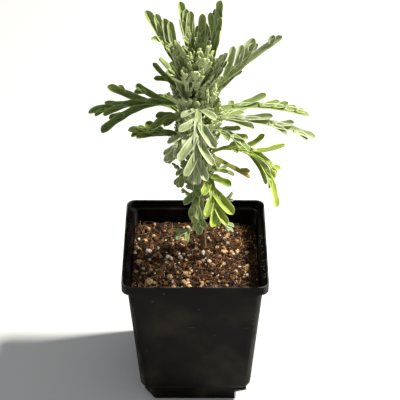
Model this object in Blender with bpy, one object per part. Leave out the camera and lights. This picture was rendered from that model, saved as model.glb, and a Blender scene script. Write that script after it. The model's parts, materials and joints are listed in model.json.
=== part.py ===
"""A young fern-leaf lavender rooted in a square black nursery pot.

The pot is a thin tapered shell with a collar, an inner ledge and a recessed, drained foot. The soil
fills it to just under the rim. One woody stem stands in the soil and carries lobed leaves, and
loose grains lie on the soil. Metres, +Z up, origin at the centre of the foot's underside.
"""

import math

import bmesh
import bpy
import numpy as np

MM = 0.001  # the tables below hold millimetres and degrees

# Pot
POT_HEIGHT = 0.104
RIM_WIDTH = 0.090
RIM_CORNER = 0.0055
COLLAR_HEIGHT = 0.006
COLLAR_STEP = 0.0031
WALL = 0.001
BASE_WIDTH = 0.0712
BASE_CORNER = 0.006
BASE_FILLET = 0.003
LIP_ROUND = 0.0003
FOOT_WIDTH = 0.067
FOOT_HEIGHT = 0.010
FOOT_CUT = (0.007, 0.010)
FOOT_NOTCH = 0.008
DRAIN_DIAMETER = 0.009
DRAIN_OFFSET = 0.0195
CORNER_STEPS = 4

# Soil and what lies on it
SOIL_DROP = 0.016
SOIL_RELIEF = 0.0012
SOIL_RINGS = (1.0, 0.93, 0.8, 0.65, 0.5, 0.35, 0.2, 0.08)  # of the soil's top, as shares of its edge
GRAIN_SINK = 0.35  # the share of a grain's height that lies in the soil
GRAIN_KNOBS = 0.14  # how far a grain's corners stray from its round, as a share of its radius
GRAIN_SEED = 100
FIT_GAP = 0.0003

# Plant
STEM_HEIGHT = 0.128
STEM_BURIED = 0.024
STEM_BASE_DIAMETER = 0.0040
STEM_TIP_DIAMETER = 0.0022
STEM_SIDES = 8
BLADE_THICKNESS = 0.0011
LOBE_THINNING = 0.22  # how much thinner a lobe is than its parent
NEXT_LOBE_THINNING = 0.02  # and each lobe than the one before it on the same parent
LOBE_START_ANGLE = 8.0
FOOT_SHARE = 0.45  # a blade's width where it starts, as a share of its full width
FOOT_WIDENING = 1.4  # how fast a blade widens from there, per share of its length
TIP_START = 0.78  # where along a blade its round tip begins
TIP_WIDTH = 0.28  # the end of a tip, as a share of the blade's width
TIP_THINNING = 0.6
LOBE_BEND_POWER = 0.6  # under 1, so that a lobe turns away from its parent early
DROOP_POWER = 1.2  # over 1, so that a leaf droops more towards its tip

LEAF_STATIONS = 9  # points along a leaf's line, and which of them carry a ring of its blade
LEAF_RINGS = (0, 2, 4, 6, 7, 8)
LOBE_STATIONS = 7
LOBE_RINGS = (0, 2, 4, 5, 6)

SOIL_TOP = POT_HEIGHT - SOIL_DROP
BASE_Z = FOOT_HEIGHT
COLLAR_Z = POT_HEIGHT - COLLAR_HEIGHT

# Where the stem carries a ring, as shares of its height above the soil
STEM_SHARES = (-0.03, 0.03, 0.1, 0.19, 0.3, 0.4, 0.5, 0.6, 0.7, 0.81, 0.9, 1.0)

# Where the stem's line runs: share of its height above the soil, then x and y in millimetres
STEM_LINE = (
    (-0.19, 5.0, 13.0),
    (0.00, 5.2, 13.0),
    (0.20, 4.2, 12.6),
    (0.42, 3.4, 13.2),
    (0.64, 2.8, 12.8),
    (0.86, 2.6, 13.2),
    (1.00, 2.3, 13.4),
)

# Leaves: height as a share of the stem, heading, rise at the stem, droop by the tip, swing, roll at
# the stem and at the tip, length, width, lobes. A lobe is (share along its parent, length, spread,
# lift, width, forks); a positive length leaves the parent's left side, a negative one its right.
LEAVES = {
    "leaf_front_upper": (0.871, -92, 20, 92, 2, 0, 0, 64, 4.1, (
        (0.12, 16, 66, -18, 4.2), (0.12, -15, 70, -20, 4.2), (0.3, -17, 62, -22, 4.2),
        (0.34, 25, 38, -18, 5.0), (0.48, -24, 42, -15, 5.2), (0.54, 22, 34, -8, 4.2),
        (0.66, -19, 34, -8, 4.2), (0.72, 17, 28, -6, 4.2), (0.8, -12, 26, 0, 4.2))),
    "leaf_front_lower": (0.521, -74, 22, 88, -8, 0, 0, 52, 4.1, (
        (0.22, 24, 36, -10, 5.0), (0.36, -16, 34, -8, 4.2), (0.48, 24, 32, -8, 5.5),
        (0.56, -18, 30, -8, 4.2), (0.68, 18, 26, 6, 4.2), (0.74, -14, 24, -4, 4.2))),
    "leaf_right_lower": (0.563, -12, 46, 118, -6, 0, 0, 56, 4.1, (
        (0.3, 12, 45, 10, 4.5), (0.34, -9, 60, -10, 3.2), (0.44, 19, 34, 40, 3.8),
        (0.54, 24, 30, 34, 4.0), (0.4, -32, 46, -74, 2.5),
        (0.46, -46, 56, -66, 4.0, ((0.45, 9, 40, 0, 3.0), (0.6, -7, 40, 0, 3.0),)),
        (0.84, 9, 50, 20, 3.2), (0.84, -8, 40, 0, 3.2))),
    "leaf_left_upper": (0.861, 178, 5, 24, 2, -15, -15, 66, 4.8, (
        (0.22, -26, 44, 10, 3.8, ((0.62, 9, 34, 0, 3.2),)),
        (0.36, -32, 22, 8, 4.8, ((0.58, -9, 45, 0, 3.2),)),
        (0.34, 40, 40, -12, 5.0, ((0.5, -12, 30, 0, 3.8),)), (0.6, 18, 36, -6, 4.2),
        (0.64, -14, 18, 8, 3.2), (0.8, 10, 34, 0, 3.2))),
    "leaf_crown_left": (0.914, 159, 58, 0, 0, -25, -35, 59, 5.1, (
        (0.3, -30, 20, 10, 4.2), (0.45, -24, 18, 8, 4.5), (0.62, -18, 16, 6, 4.2),
        (0.62, 10, 62, 0, 3.0))),
    "leaf_crown_back": (0.946, 118, 62, -6, 0, 0, 0, 52, 4.6, (
        (0.34, -26, 20, 4, 4.2), (0.5, 16, 14, 4, 4.2), (0.5, -20, 16, 4, 4.2),
        (0.64, -14, 18, 4, 4.2))),
    "leaf_crown_right": (0.924, 40, 64, -22, 10, 0, 0, 58, 5.1, (
        (0.28, 26, 24, 16, 4.2), (0.3, -24, 12, 26, 4.2), (0.48, 22, 22, 16, 4.2),
        (0.55, -18, 14, 24, 4.2), (0.75, 9, 34, 6, 4.2))),
    "leaf_upper_right": (0.882, 14, 43, 12, 0, 30, 45, 61, 3.7, (
        (0.24, 24, 44, 4, 3.8), (0.4, 18, 44, 4, 4.2),
        (0.46, 21, 38, 4, 6.2, ((0.5, -9, 30, 0, 5.0),)), (0.84, 7, 36, 0, 3.8))),
    "leaf_right_slender": (0.85, 30, 34, -14, -16, 30, 40, 38, 3.4, (
        (0.5, 12, 36, 0, 3.5), (0.66, -7, 34, 0, 3.0))),
    "leaf_right_upper": (0.823, 4, 10, 34, 0, 15, 15, 66, 4.6, (
        (0.28, 22, 20, 10, 3.8), (0.52, 14, 30, 10, 3.8), (0.64, 11, 32, 8, 3.8),
        (0.74, 10, 34, 8, 3.8), (0.86, 7, 36, 6, 3.8))),
    "leaf_right_silver": (0.797, -12, 6, 26, 2, 20, 20, 70, 4.6, (
        (0.16, -22, 20, -6, 4.2), (0.3, 22, 14, 0, 3.8), (0.58, -13, 34, -4, 3.8),
        (0.8, -10, 24, -4, 3.8), (0.6, 14, 22, 4, 3.8))),
    "leaf_left_slender": (0.892, 176, 30, -20, -18, -30, -30, 34, 3.0, (
        (0.55, 11, 44, 0, 2.8),)),
    "leaf_left_lower": (0.675, 178, 8, 4, 0, -10, -10, 42, 4.8, (
        (0.4, -17, 34, 6, 4.8), (0.42, 20, 26, -4, 4.8), (0.68, -9, 34, 4, 4.2),
        (0.68, 12, 28, -4, 4.2))),
    "leaf_left_small": (0.611, 204, 12, 50, 0, 0, 0, 22, 3.4, (
        (0.5, 8, 30, 0, 3.2), (0.5, -8, 30, 0, 3.2))),
    "leaf_left_broad": (0.807, 200, 10, 40, 0, 0, 0, 30, 5.8, (
        (0.35, 13, 26, 0, 5.2), (0.35, -15, 30, 0, 5.2), (0.65, -8, 34, 0, 4.2))),
    "leaf_front_left_lower": (0.468, -98, 14, 84, 6, 0, 0, 38, 4.1, (
        (0.35, 10, 24, 0, 4.2), (0.4, -15, 40, 0, 4.2), (0.65, 11, 22, 0, 4.2),
        (0.65, -10, 30, 0, 4.2))),
    "leaf_front_yellow": (0.611, -50, 0, 34, 44, 0, 0, 36, 3.4, (
        (0.72, 9, 28, 20, 3.5),)),
    "leaf_basal_left": (0.138, -148, 20, 50, 0, 0, 0, 19, 2.3, (
        (0.3, 13, 62, -6, 2.5), (0.4, -11, 44, 6, 2.5), (0.7, 6, 36, 0, 2.5))),
    "leaf_basal_pale": (0.234, -26, -5, 40, 0, 0, 0, 22, 2.3, (
        (0.55, 9, 34, 0, 2.5), (0.55, -8, 34, 0, 2.5), (0.3, 8, 30, 10, 2.5))),
    "leaf_low_right": (0.213, -2, 34, -30, 0, 0, 0, 26, 2.8, (
        (0.6, -8, 40, -10, 2.8),)),
    "leaf_crown_centre": (0.956, 196, 74, 6, 0, 0, 0, 34, 4.1, (
        (0.3, 16, 24, 0, 4.2), (0.3, -18, 24, 0, 4.2), (0.6, 11, 24, 0, 4.2), (0.6, -11, 24, 0, 4.2))),
    "leaf_crown_front": (0.967, -80, 68, 10, 0, 0, 0, 30, 4.1, (
        (0.3, 15, 26, 0, 4.2), (0.3, -15, 26, 0, 4.2), (0.6, 10, 24, 0, 4.2), (0.6, -10, 24, 0, 4.2))),
    "leaf_crown_small_right": (0.914, -22, 62, -4, 0, 40, 40, 36, 4.6, (
        (0.35, 16, 22, 6, 4.2), (0.35, -15, 22, 6, 4.5), (0.6, 11, 20, 4, 4.2), (0.6, -11, 22, 0, 4.2))),
    "leaf_back_upper": (0.882, 86, 30, 20, 0, 0, 0, 50, 4.6, (
        (0.35, 20, 34, 0, 4.2), (0.35, -20, 34, 0, 4.2), (0.55, 16, 34, 0, 4.2),
        (0.6, -15, 34, 0, 4.2), (0.78, 9, 34, 0, 4.2))),
    "leaf_back_left": (0.701, 124, 20, 40, 0, 0, 0, 48, 4.6, (
        (0.35, 18, 34, 0, 4.2), (0.4, -18, 34, 0, 4.2), (0.6, 14, 34, 0, 4.2), (0.65, -13, 34, 0, 4.2))),
    "leaf_back_right": (0.659, 52, 22, 40, 0, 0, 0, 44, 4.6, (
        (0.35, 18, 34, 0, 4.2), (0.4, -18, 34, 0, 4.2), (0.6, 14, 34, 0, 4.2), (0.65, -13, 34, 0, 4.2))),
    "leaf_back_lower": (0.436, 96, 24, 70, 0, 0, 0, 40, 4.1, (
        (0.35, 15, 34, 0, 4.2), (0.4, -15, 34, 0, 4.2), (0.65, 11, 34, 0, 4.2))),
    "leaf_middle_left": (0.74, 236, 14, 66, 0, 0, 0, 34, 4.0, (
        (0.3, 15, 40, -6, 4.2), (0.32, -14, 40, -6, 4.2), (0.55, 12, 32, -4, 4.0),
        (0.58, -12, 32, -4, 4.0), (0.78, -8, 30, 0, 3.6))),
    "leaf_middle_right": (0.735, -34, 22, 64, 0, 0, 0, 36, 4.0, (
        (0.3, 15, 36, -6, 4.2), (0.32, -14, 36, -6, 4.2), (0.55, 12, 32, -4, 4.0),
        (0.58, -11, 32, -4, 4.0))),
    "leaf_lower_left": (0.545, 234, 16, 80, 0, 0, 0, 24, 3.8, (
        (0.35, 11, 34, -6, 3.8), (0.38, -10, 34, -6, 3.8), (0.62, 9, 30, 0, 3.4),
        (0.66, -8, 30, 0, 3.4))),
    "leaf_lower_right": (0.47, -6, 30, 70, 0, 0, 0, 20, 3.2, (
        (0.4, 8, 34, 0, 3.0), (0.42, -8, 34, 0, 3.0))),
    "leaf_lower_front": (0.37, -92, 6, 76, 0, 0, 0, 32, 3.8, (
        (0.35, 12, 34, -6, 4.0), (0.38, -13, 34, -6, 4.0), (0.62, 10, 28, 0, 3.6),
        (0.66, -9, 28, 0, 3.6))),
    "leaf_crown_middle_left": (0.92, 214, 50, -6, 0, -20, -30, 42, 4.2, (
        (0.3, 18, 28, 4, 4.4), (0.3, -18, 26, 4, 4.4), (0.52, 13, 24, 2, 4.0), (0.55, -14, 24, 2, 4.0))),
    "leaf_crown_middle_back": (0.985, 80, 70, -6, 0, 0, 0, 40, 4.2, (
        (0.3, 14, 22, 6, 4.0), (0.32, -12, 20, 6, 4.0), (0.55, 11, 20, 4, 3.6), (0.58, -9, 20, 4, 3.6))),
    "leaf_crown_front_left": (0.93, 260, 58, 4, 0, 0, 0, 30, 4.0, (
        (0.32, 14, 28, 0, 4.0), (0.32, -14, 28, 0, 4.0), (0.6, 9, 24, 0, 3.6), (0.6, -9, 24, 0, 3.6))),
}

# Tufts of young leaves in the leaf axils, in the same terms
TUFTS = {
    "tuft_left": (0.85, 228, 50, 0, 0, 0, 0, 13, 2.4, (
        (0.15, 12, 55, 20, 2.4), (0.15, -12, 55, 20, 2.4), (0.4, 8, 40, 40, 2.2),
        (0.4, -8, 40, -30, 2.2))),
    "tuft_front_right": (0.782, -60, 50, 0, 0, 0, 0, 13, 2.4, (
        (0.15, 12, 55, 20, 2.4), (0.15, -12, 55, 20, 2.4), (0.4, 8, 40, 40, 2.2),
        (0.4, -8, 40, -30, 2.2))),
    "tuft_right_lower": (0.7, 24, 50, 0, 0, 0, 0, 12, 2.4, (
        (0.15, 11, 55, 20, 2.4), (0.15, -11, 55, 20, 2.4), (0.4, 8, 40, 40, 2.2),
        (0.4, -8, 40, -30, 2.2))),
    "tuft_left_lower": (0.64, 258, 50, 0, 0, 0, 0, 12, 2.4, (
        (0.15, 11, 55, 20, 2.4), (0.15, -11, 55, 20, 2.4), (0.4, 8, 40, 40, 2.2),
        (0.4, -8, 40, -30, 2.2))),
    "tuft_crown_front": (0.938, 317, 63, 12, 0, 27, 6, 18, 2.3, (
        (0.2, 11.2, 44, 16, 2.3), (0.24, -10.8, 44, 12, 2.3), (0.46, 9.0, 36, 22, 2.3),
        (0.5, -8.3, 34, 6, 2.3), (0.72, 5.4, 34, 6, 2.0))),
    "tuft_crown_top": (0.99, 322, 80, 2, 0, -16, 8, 26, 2.4, (
        (0.2, 16.1, 44, 16, 2.4), (0.24, -15.6, 44, 12, 2.4), (0.46, 13.0, 36, 22, 2.4),
        (0.5, -12.0, 34, 6, 2.4), (0.72, 7.8, 34, 6, 2.0))),
    "tuft_upper_left": (0.821, 231, 47, -9, 0, 21, -22, 23, 2.7, (
        (0.2, 14.3, 44, 16, 2.7), (0.24, -13.8, 44, 12, 2.7), (0.46, 11.5, 36, 22, 2.7),
        (0.5, -10.6, 34, 6, 2.7), (0.72, 6.9, 34, 6, 2.3))),
    "tuft_middle_front": (0.709, 293, 43, 1, 0, -15, -11, 26, 3.0, (
        (0.2, 16.1, 44, 16, 3.0), (0.24, -15.6, 44, 12, 3.0), (0.46, 13.0, 36, 22, 3.0),
        (0.5, -12.0, 34, 6, 3.0), (0.72, 7.8, 34, 6, 2.5))),
}

# Grains on the soil: kind, place as shares of the soil's half width, then length, width, height
GRAINS = (
    ("perlite", 0.13, 0.16, 3.4, 3.0, 3.2),
    ("perlite", -0.44, 0.08, 2.9, 2.7, 2.6),
    ("perlite", 0.12, -0.02, 3.2, 2.2, 2.0),
    ("perlite", -0.76, 0.24, 4.2, 3.0, 2.6),
    ("pumice", -0.72, -0.53, 5.6, 4.6, 3.6),
    ("pumice", -0.40, -0.40, 3.8, 3.6, 3.0),
    ("pumice", -0.34, -0.66, 3.4, 3.0, 2.8),
    ("pumice", -0.12, -0.56, 3.0, 2.8, 2.4),
    ("pumice", 0.46, 0.22, 4.6, 2.6, 2.2),
    ("pumice", -0.90, -0.06, 4.4, 3.4, 2.8),
    ("bark", -0.86, 0.06, 3.6, 3.0, 2.4),
    ("bark", -0.42, 0.76, 4.8, 3.4, 2.4),
    ("bark", 0.62, -0.12, 3.4, 3.0, 2.4),
    ("bark", 0.30, -0.70, 3.4, 2.6, 2.2),
)

LOOKS = {
    "pot": ((0.012, 0.011, 0.009), 0.42),
    "soil": ((0.060, 0.030, 0.014), 0.95),
    "stem": ((0.230, 0.110, 0.055), 0.80),
    "leaf": ((0.150, 0.220, 0.050), 0.60),
    "tuft": ((0.280, 0.360, 0.120), 0.60),
    "perlite": ((0.780, 0.720, 0.620), 0.85),
    "pumice": ((0.560, 0.330, 0.170), 0.85),
    "bark": ((0.260, 0.130, 0.060), 0.85),
}


def clear_scene():
    """Empties the scene of everything it starts with."""
    for thing in list(bpy.data.objects):
        bpy.data.objects.remove(thing, do_unlink=True)


def material(look):
    """The Principled material of one look, made once."""
    found = bpy.data.materials.get(look)
    if found:
        return found
    colour, roughness = LOOKS[look]
    made = bpy.data.materials.new(look)
    made.use_nodes = True
    shader = made.node_tree.nodes["Principled BSDF"]
    shader.inputs["Base Color"].default_value = (*colour, 1.0)
    shader.inputs["Roughness"].default_value = roughness
    shader.inputs["Metallic"].default_value = 0.0
    return made


def solid(name, points, faces, look, sharp_angle=40.0):
    """A mesh object in the scene, shaded smooth except at sharp edges."""
    mesh = bpy.data.meshes.new(name)
    mesh.from_pydata(np.asarray(points).tolist(), [], faces)
    mesh.update()
    mesh.shade_smooth()
    mesh.set_sharp_from_angle(angle=math.radians(sharp_angle))
    mesh.materials.append(material(look))
    made = bpy.data.objects.new(name, mesh)
    bpy.context.scene.collection.objects.link(made)
    return made


def helper(name, points, faces, look):
    """A body that only cuts or joins another one, left out of the model itself."""
    made = solid(name, points, faces, look)
    made.hide_render = True
    made.display_type = "WIRE"
    return made


def boolean(target, other, operation, overlapping=False):
    """Leaves a live Boolean of target with other on target."""
    step = target.modifiers.new(f"{operation.lower()}_{other.name}", "BOOLEAN")
    step.operation = operation
    step.solver = "EXACT"
    step.use_self = overlapping
    step.object = other


def loft(rings):
    """Points and faces of a closed body through rings of equal count, capped at both ends.

    The rings run counterclockwise seen from the end that the body grows towards.
    """
    count = len(rings[0])
    faces = [tuple(reversed(range(count)))]
    for ring in range(len(rings) - 1):
        for i in range(count):
            a = ring * count + i
            b = ring * count + (i + 1) % count
            faces.append((a, b, b + count, a + count))
    last = (len(rings) - 1) * count
    faces.append(tuple(range(last, last + count)))
    return np.concatenate(rings), faces


def merged(bodies):
    """Points and faces of several bodies as one mesh."""
    points, faces, start = [], [], 0
    for body_points, body_faces in bodies:
        points.append(body_points)
        faces += [tuple(i + start for i in face) for face in body_faces]
        start += len(body_points)
    return np.concatenate(points), faces


# Pot


def rounded_square(half, corner, z):
    """A ring of points on a square with rounded corners, counterclockwise from above."""
    ring = []
    for quarter in range(4):
        middle = math.radians(45 + 90 * quarter)
        centre = np.array([math.cos(middle), math.sin(middle)]) * (half - corner) * math.sqrt(2)
        for step in range(CORNER_STEPS + 1):
            angle = math.radians(90 * quarter + 90 * step / CORNER_STEPS)
            x, y = centre + corner * np.array([math.cos(angle), math.sin(angle)])
            ring.append((x, y, z))
    return np.array(ring)


def wall_half(z):
    """Half the outer width of the tapered wall at a height."""
    top = RIM_WIDTH / 2 - COLLAR_STEP
    share = (z - BASE_Z) / (COLLAR_Z - BASE_Z)
    return BASE_WIDTH / 2 + (top - BASE_WIDTH / 2) * share


def wall_corner(z):
    """The outer corner radius of the tapered wall at a height."""
    share = (z - BASE_Z) / (COLLAR_Z - BASE_Z)
    return BASE_CORNER + (RIM_CORNER - BASE_CORNER) * share


def base_rings(inset, floor_z):
    """The rings of the rounded lower edge, set in from the outer wall."""
    rings = []
    fillet = BASE_FILLET - inset
    for angle in (0.0, 45.0, 90.0):
        turn = math.radians(angle)
        z = floor_z + fillet * (1 - math.cos(turn))
        half = wall_half(floor_z + fillet) - inset - fillet * (1 - math.sin(turn))
        rings.append(rounded_square(half, wall_corner(z) - inset, z))
    return rings


def pot_rings():
    """The pot's shell: up the outside from the base, over the lip, down the inside to the floor."""
    rim = RIM_WIDTH / 2
    ledge_z = COLLAR_Z + WALL
    outside = base_rings(0.0, BASE_Z)
    outside.append(rounded_square(wall_half(COLLAR_Z), RIM_CORNER, COLLAR_Z))
    outside.append(rounded_square(rim, RIM_CORNER, COLLAR_Z))
    outside.append(rounded_square(rim, RIM_CORNER, POT_HEIGHT - LIP_ROUND))
    outside.append(rounded_square(rim - LIP_ROUND, RIM_CORNER - LIP_ROUND, POT_HEIGHT))
    inner = RIM_CORNER - WALL
    inside = [
        rounded_square(rim - WALL + LIP_ROUND, inner, POT_HEIGHT),
        rounded_square(rim - WALL, inner, POT_HEIGHT - LIP_ROUND),
        rounded_square(rim - WALL, inner, ledge_z),
        rounded_square(wall_half(COLLAR_Z) - WALL, inner, ledge_z),
        rounded_square(wall_half(COLLAR_Z) - WALL, inner, COLLAR_Z),
    ]
    return outside + inside + base_rings(WALL, BASE_Z + WALL)[::-1]


def foot_outline(inset):
    """The foot seen from above: two corners cut off, two notched, set in evenly."""
    half = FOOT_WIDTH / 2 - inset
    across, along = FOOT_CUT
    shrink = 1 - inset * (across + along - math.hypot(across, along)) / (across * along)
    across, along = across * shrink, along * shrink
    side = [
        (-half + across, -half),
        (half - FOOT_NOTCH, -half),
        (half - FOOT_NOTCH, -half + FOOT_NOTCH),
        (half, -half + FOOT_NOTCH),
        (half, half - along),
    ]
    return side + [(-x, -y) for x, y in side]


def prism(outline, low, high):
    """Points and faces of an upright prism on an outline that runs counterclockwise from above."""
    return loft([np.array([(x, y, z) for x, y in outline]) for z in (low, high)])


def cylinder(x, y, radius, low, high, sides=16):
    """Points and faces of an upright cylinder."""
    angles = np.linspace(0, 2 * np.pi, sides, endpoint=False)
    outline = [(x + radius * math.cos(a), y + radius * math.sin(a)) for a in angles]
    return prism(outline, low, high)


def build_pot():
    """The moulded shell: wall and collar, then the hollow foot and its drainage holes."""
    pot = solid("nursery_pot", *loft(pot_rings()), "pot")
    inside_z = BASE_Z + WALL
    foot = helper("pot_foot", *prism(foot_outline(0.0), 0.0, BASE_Z + WALL / 2), "pot")
    hollow = helper("pot_foot_hollow", *prism(foot_outline(WALL), WALL, inside_z + WALL), "pot")
    drains = [
        cylinder(x, y, DRAIN_DIAMETER / 2, -WALL, 2 * WALL)
        for x in (-DRAIN_OFFSET, DRAIN_OFFSET)
        for y in (-DRAIN_OFFSET, DRAIN_OFFSET)
    ]
    holes = helper("pot_drains", *merged(drains), "pot")
    boolean(pot, foot, "UNION")
    boolean(pot, hollow, "DIFFERENCE")
    boolean(pot, holes, "DIFFERENCE")


# Soil


def soil_half():
    """Half the width of the soil at its top."""
    return wall_half(SOIL_TOP) - WALL - FIT_GAP


def soil_relief(x, y):
    """How far the soil's surface stands over its mean height: low rolling humps."""
    a, b = x / soil_half(), y / soil_half()
    rolling = 0.55 * np.sin(3.1 * a + 1.3 * b + 0.6) + 0.45 * np.sin(5.3 * b - 2.2 * a)
    return SOIL_RELIEF * (rolling - 0.45 * a - 0.35 * b)


def soil_rings():
    """The soil block: up the side of the pot, then over the rough top to its middle.

    The top's edge keeps its gap to the sloping wall at whatever height it lies.
    """
    inset = WALL + FIT_GAP
    rings = base_rings(inset, BASE_Z + inset)
    edge = rounded_square(soil_half(), wall_corner(SOIL_TOP) - inset, 0.0)
    heights = SOIL_TOP + soil_relief(edge[:, 0], edge[:, 1])
    edge *= ((wall_half(heights) - inset) / soil_half())[:, None]
    for share in SOIL_RINGS:
        ring = edge * share
        ring[:, 2] = SOIL_TOP + soil_relief(ring[:, 0], ring[:, 1])
        rings.append(ring)
    return rings


def build_soil():
    """The soil, with the foot's filling under it and a socket or dent for each piece set in it."""
    inset = WALL + FIT_GAP
    soil = solid("potting_soil", *loft(soil_rings()), "soil")
    plug = prism(foot_outline(inset), inset, BASE_Z + inset + WALL)
    boolean(soil, helper("soil_in_foot", *plug, "soil"), "UNION")
    socket = loft(stem_rings(FIT_GAP))
    boolean(soil, helper("stem_socket", *socket, "soil"), "DIFFERENCE")
    dents = merged([grain_body(index, FIT_GAP) for index in range(len(GRAINS))])
    boolean(soil, helper("grain_dents", *dents, "soil"), "DIFFERENCE", overlapping=True)


# Grains


def ball():
    """Points and faces of a low unit ball."""
    work = bmesh.new()
    bmesh.ops.create_icosphere(work, subdivisions=2, radius=1.0)
    points = np.array([vert.co for vert in work.verts])
    faces = [tuple(vert.index for vert in face.verts) for face in work.faces]
    work.free()
    return points, faces


def grain_body(index, extra=0.0):
    """One grain's points and faces, knobbly, turned its own way and part sunk in the soil."""
    _, a, b, length, width, height = GRAINS[index]
    draw = np.random.default_rng(GRAIN_SEED + index)
    points, faces = ball()
    size = np.array([length, width, height]) * MM / 2
    knobs = 1 + draw.uniform(-GRAIN_KNOBS, GRAIN_KNOBS, (len(points), 1))
    points = points * knobs * (size + extra / (1 - 2 * GRAIN_KNOBS))
    turn = draw.uniform(0, np.pi)
    c, s = math.cos(turn), math.sin(turn)
    points = points @ np.array([[c, s, 0], [-s, c, 0], [0, 0, 1]])
    x, y = a * soil_half(), b * soil_half()
    z = SOIL_TOP + soil_relief(x, y) + size[2] * (1 - 2 * GRAIN_SINK)
    return points + np.array([x, y, z]), faces


def build_grains():
    """Every grain as its own piece, numbered within its kind."""
    seen = {}
    for index, grain in enumerate(GRAINS):
        kind = grain[0]
        seen[kind] = seen.get(kind, 0) + 1
        solid(f"{kind}_grain_{seen[kind]:02d}", *grain_body(index), kind)


# Stem and leaves


def stem_point(share):
    """The middle of the stem at a share of its height above the soil."""
    line = np.array(STEM_LINE)
    x = np.interp(share, line[:, 0], line[:, 1]) * MM
    y = np.interp(share, line[:, 0], line[:, 2]) * MM
    return np.array([x, y, SOIL_TOP + share * STEM_HEIGHT])


def stem_radius(share):
    """The stem's radius at a share of its height, widest where it leaves the soil."""
    along = min(max(share, 0.0), 1.0)
    return (STEM_BASE_DIAMETER + (STEM_TIP_DIAMETER - STEM_BASE_DIAMETER) * along) / 2


def stem_rings(extra=0.0):
    """Rings up the stem from its buried end to its tip."""
    low = -(STEM_BURIED + extra) / STEM_HEIGHT
    angles = np.linspace(0, 2 * np.pi, STEM_SIDES, endpoint=False)
    circle = np.stack([np.cos(angles), np.sin(angles), np.zeros(STEM_SIDES)], 1)
    return [
        stem_point(share) + circle * (stem_radius(share) + extra)
        for share in (low, *STEM_SHARES)
    ]


def build_stem():
    """The woody stem, its lower end rooted in the soil's socket."""
    solid("main_stem", *loft(stem_rings()), "stem")


def run(start, frame, length, yaw, pitch, roll, count):
    """Points and frames of a line that turns as it goes.

    yaw, pitch and roll are (first, last, power): degrees against the starting frame. A frame's
    rows are the line's direction, its left side and its upper side.
    """
    share = np.linspace(0, 1, count)

    def angle(first, last, power):
        return np.radians(first + (last - first) * share**power)

    y, p, r = angle(*yaw), angle(*pitch), angle(*roll)
    ahead = np.stack([np.cos(p) * np.cos(y), np.cos(p) * np.sin(y), np.sin(p)], 1)
    level = np.stack([-np.sin(y), np.cos(y), np.zeros(count)], 1)
    above = np.stack([-np.sin(p) * np.cos(y), -np.sin(p) * np.sin(y), np.cos(p)], 1)
    side = np.cos(r)[:, None] * level + np.sin(r)[:, None] * above
    above = np.cos(r)[:, None] * above - np.sin(r)[:, None] * level
    frames = np.stack([ahead, side, above], 1) @ frame
    steps = (frames[1:, 0] + frames[:-1, 0]) / 2 * length / (count - 1)
    points = start + np.concatenate([np.zeros((1, 3)), np.cumsum(steps, 0)])
    return points, frames


def blade(points, frames, width, thickness, keep):
    """Points and faces of a flat closed blade along a line, narrow at its foot and round at its tip."""
    share = np.linspace(0, 1, len(points))
    foot = np.minimum(1, FOOT_SHARE + FOOT_WIDENING * share)
    into_tip = np.clip((share - TIP_START) / (1 - TIP_START), 0, 1)
    tip = np.sqrt(np.clip(1 - into_tip**2, TIP_WIDTH**2, 1))
    half = width / 2 * foot * tip
    deep = np.full(len(points), thickness / 2)
    deep[-1] *= TIP_THINNING
    side = frames[:, 1] * half[:, None]
    up = frames[:, 2] * deep[:, None]
    corners = [points - side - up, points + side - up, points + side + up, points - side + up]
    rings = np.stack(corners, 1)
    return loft([rings[i] for i in keep])


def lobe_bodies(points, frames, lobes, parent_thickness):
    """The blades of all the lobes on one parent, and of their own forks."""
    bodies = []
    for index, lobe in enumerate(lobes):
        thinner = 1 - LOBE_THINNING - NEXT_LOBE_THINNING * index
        thickness = parent_thickness * thinner
        line = lobe_line(points, frames, lobe)
        bodies.append(blade(*line, lobe[4] * MM, thickness, LOBE_RINGS))
        bodies += lobe_bodies(*line, lobe[5] if len(lobe) > 5 else (), thickness)
    return bodies


def lobe_line(points, frames, lobe):
    """The points and frames of a lobe's line, which starts on its parent's line."""
    share, length, spread, lift = lobe[:4]
    place = share * (len(points) - 1)
    low = min(int(place), len(points) - 2)
    part = place - low
    start = points[low] * (1 - part) + points[low + 1] * part
    frame = frames[low] * (1 - part) + frames[low + 1] * part
    frame = frame / np.linalg.norm(frame, axis=1, keepdims=True)
    side = math.copysign(1, length)
    turn = (side * LOBE_START_ANGLE, side * spread, LOBE_BEND_POWER)
    return run(start, frame, abs(length) * MM, turn, (0, lift, 1.0), (0, 0, 1.0), LOBE_STATIONS)


def build_leaf(name, leaf, look):
    """One leaf: its midrib blade joined with its lobes, standing just clear of the stem."""
    share, heading, rise, droop, swing, roll, end_roll, length, width, lobes = leaf
    turn = math.radians(heading)
    out = np.array([math.cos(turn), math.sin(turn), 0.0])
    frame = np.array([out, [-out[1], out[0], 0.0], [0.0, 0.0, 1.0]])
    turns = ((0, swing, 1.0), (rise, rise - droop, DROOP_POWER), (roll, end_roll, 1.0))
    points, frames = run(np.zeros(3), frame, length * MM, *turns, LEAF_STATIONS)
    foot_half = width * MM * FOOT_SHARE / 2
    reach = abs(frames[0, 1] @ out) * foot_half + abs(frames[0, 2] @ out) * BLADE_THICKNESS / 2
    line = (points + stem_point(share) + out * (stem_radius(share) + FIT_GAP + reach), frames)
    leaf_object = solid(name, *blade(*line, width * MM, BLADE_THICKNESS, LEAF_RINGS), look)
    bodies = lobe_bodies(*line, lobes, BLADE_THICKNESS)
    boolean(leaf_object, helper(f"{name}_lobes", *merged(bodies), look), "UNION", overlapping=True)


def main():
    clear_scene()
    build_pot()
    build_soil()
    build_grains()
    build_stem()
    for name, leaf in LEAVES.items():
        build_leaf(name, leaf, "leaf")
    for name, tuft in TUFTS.items():
        build_leaf(name, tuft, "tuft")


main()
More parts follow.
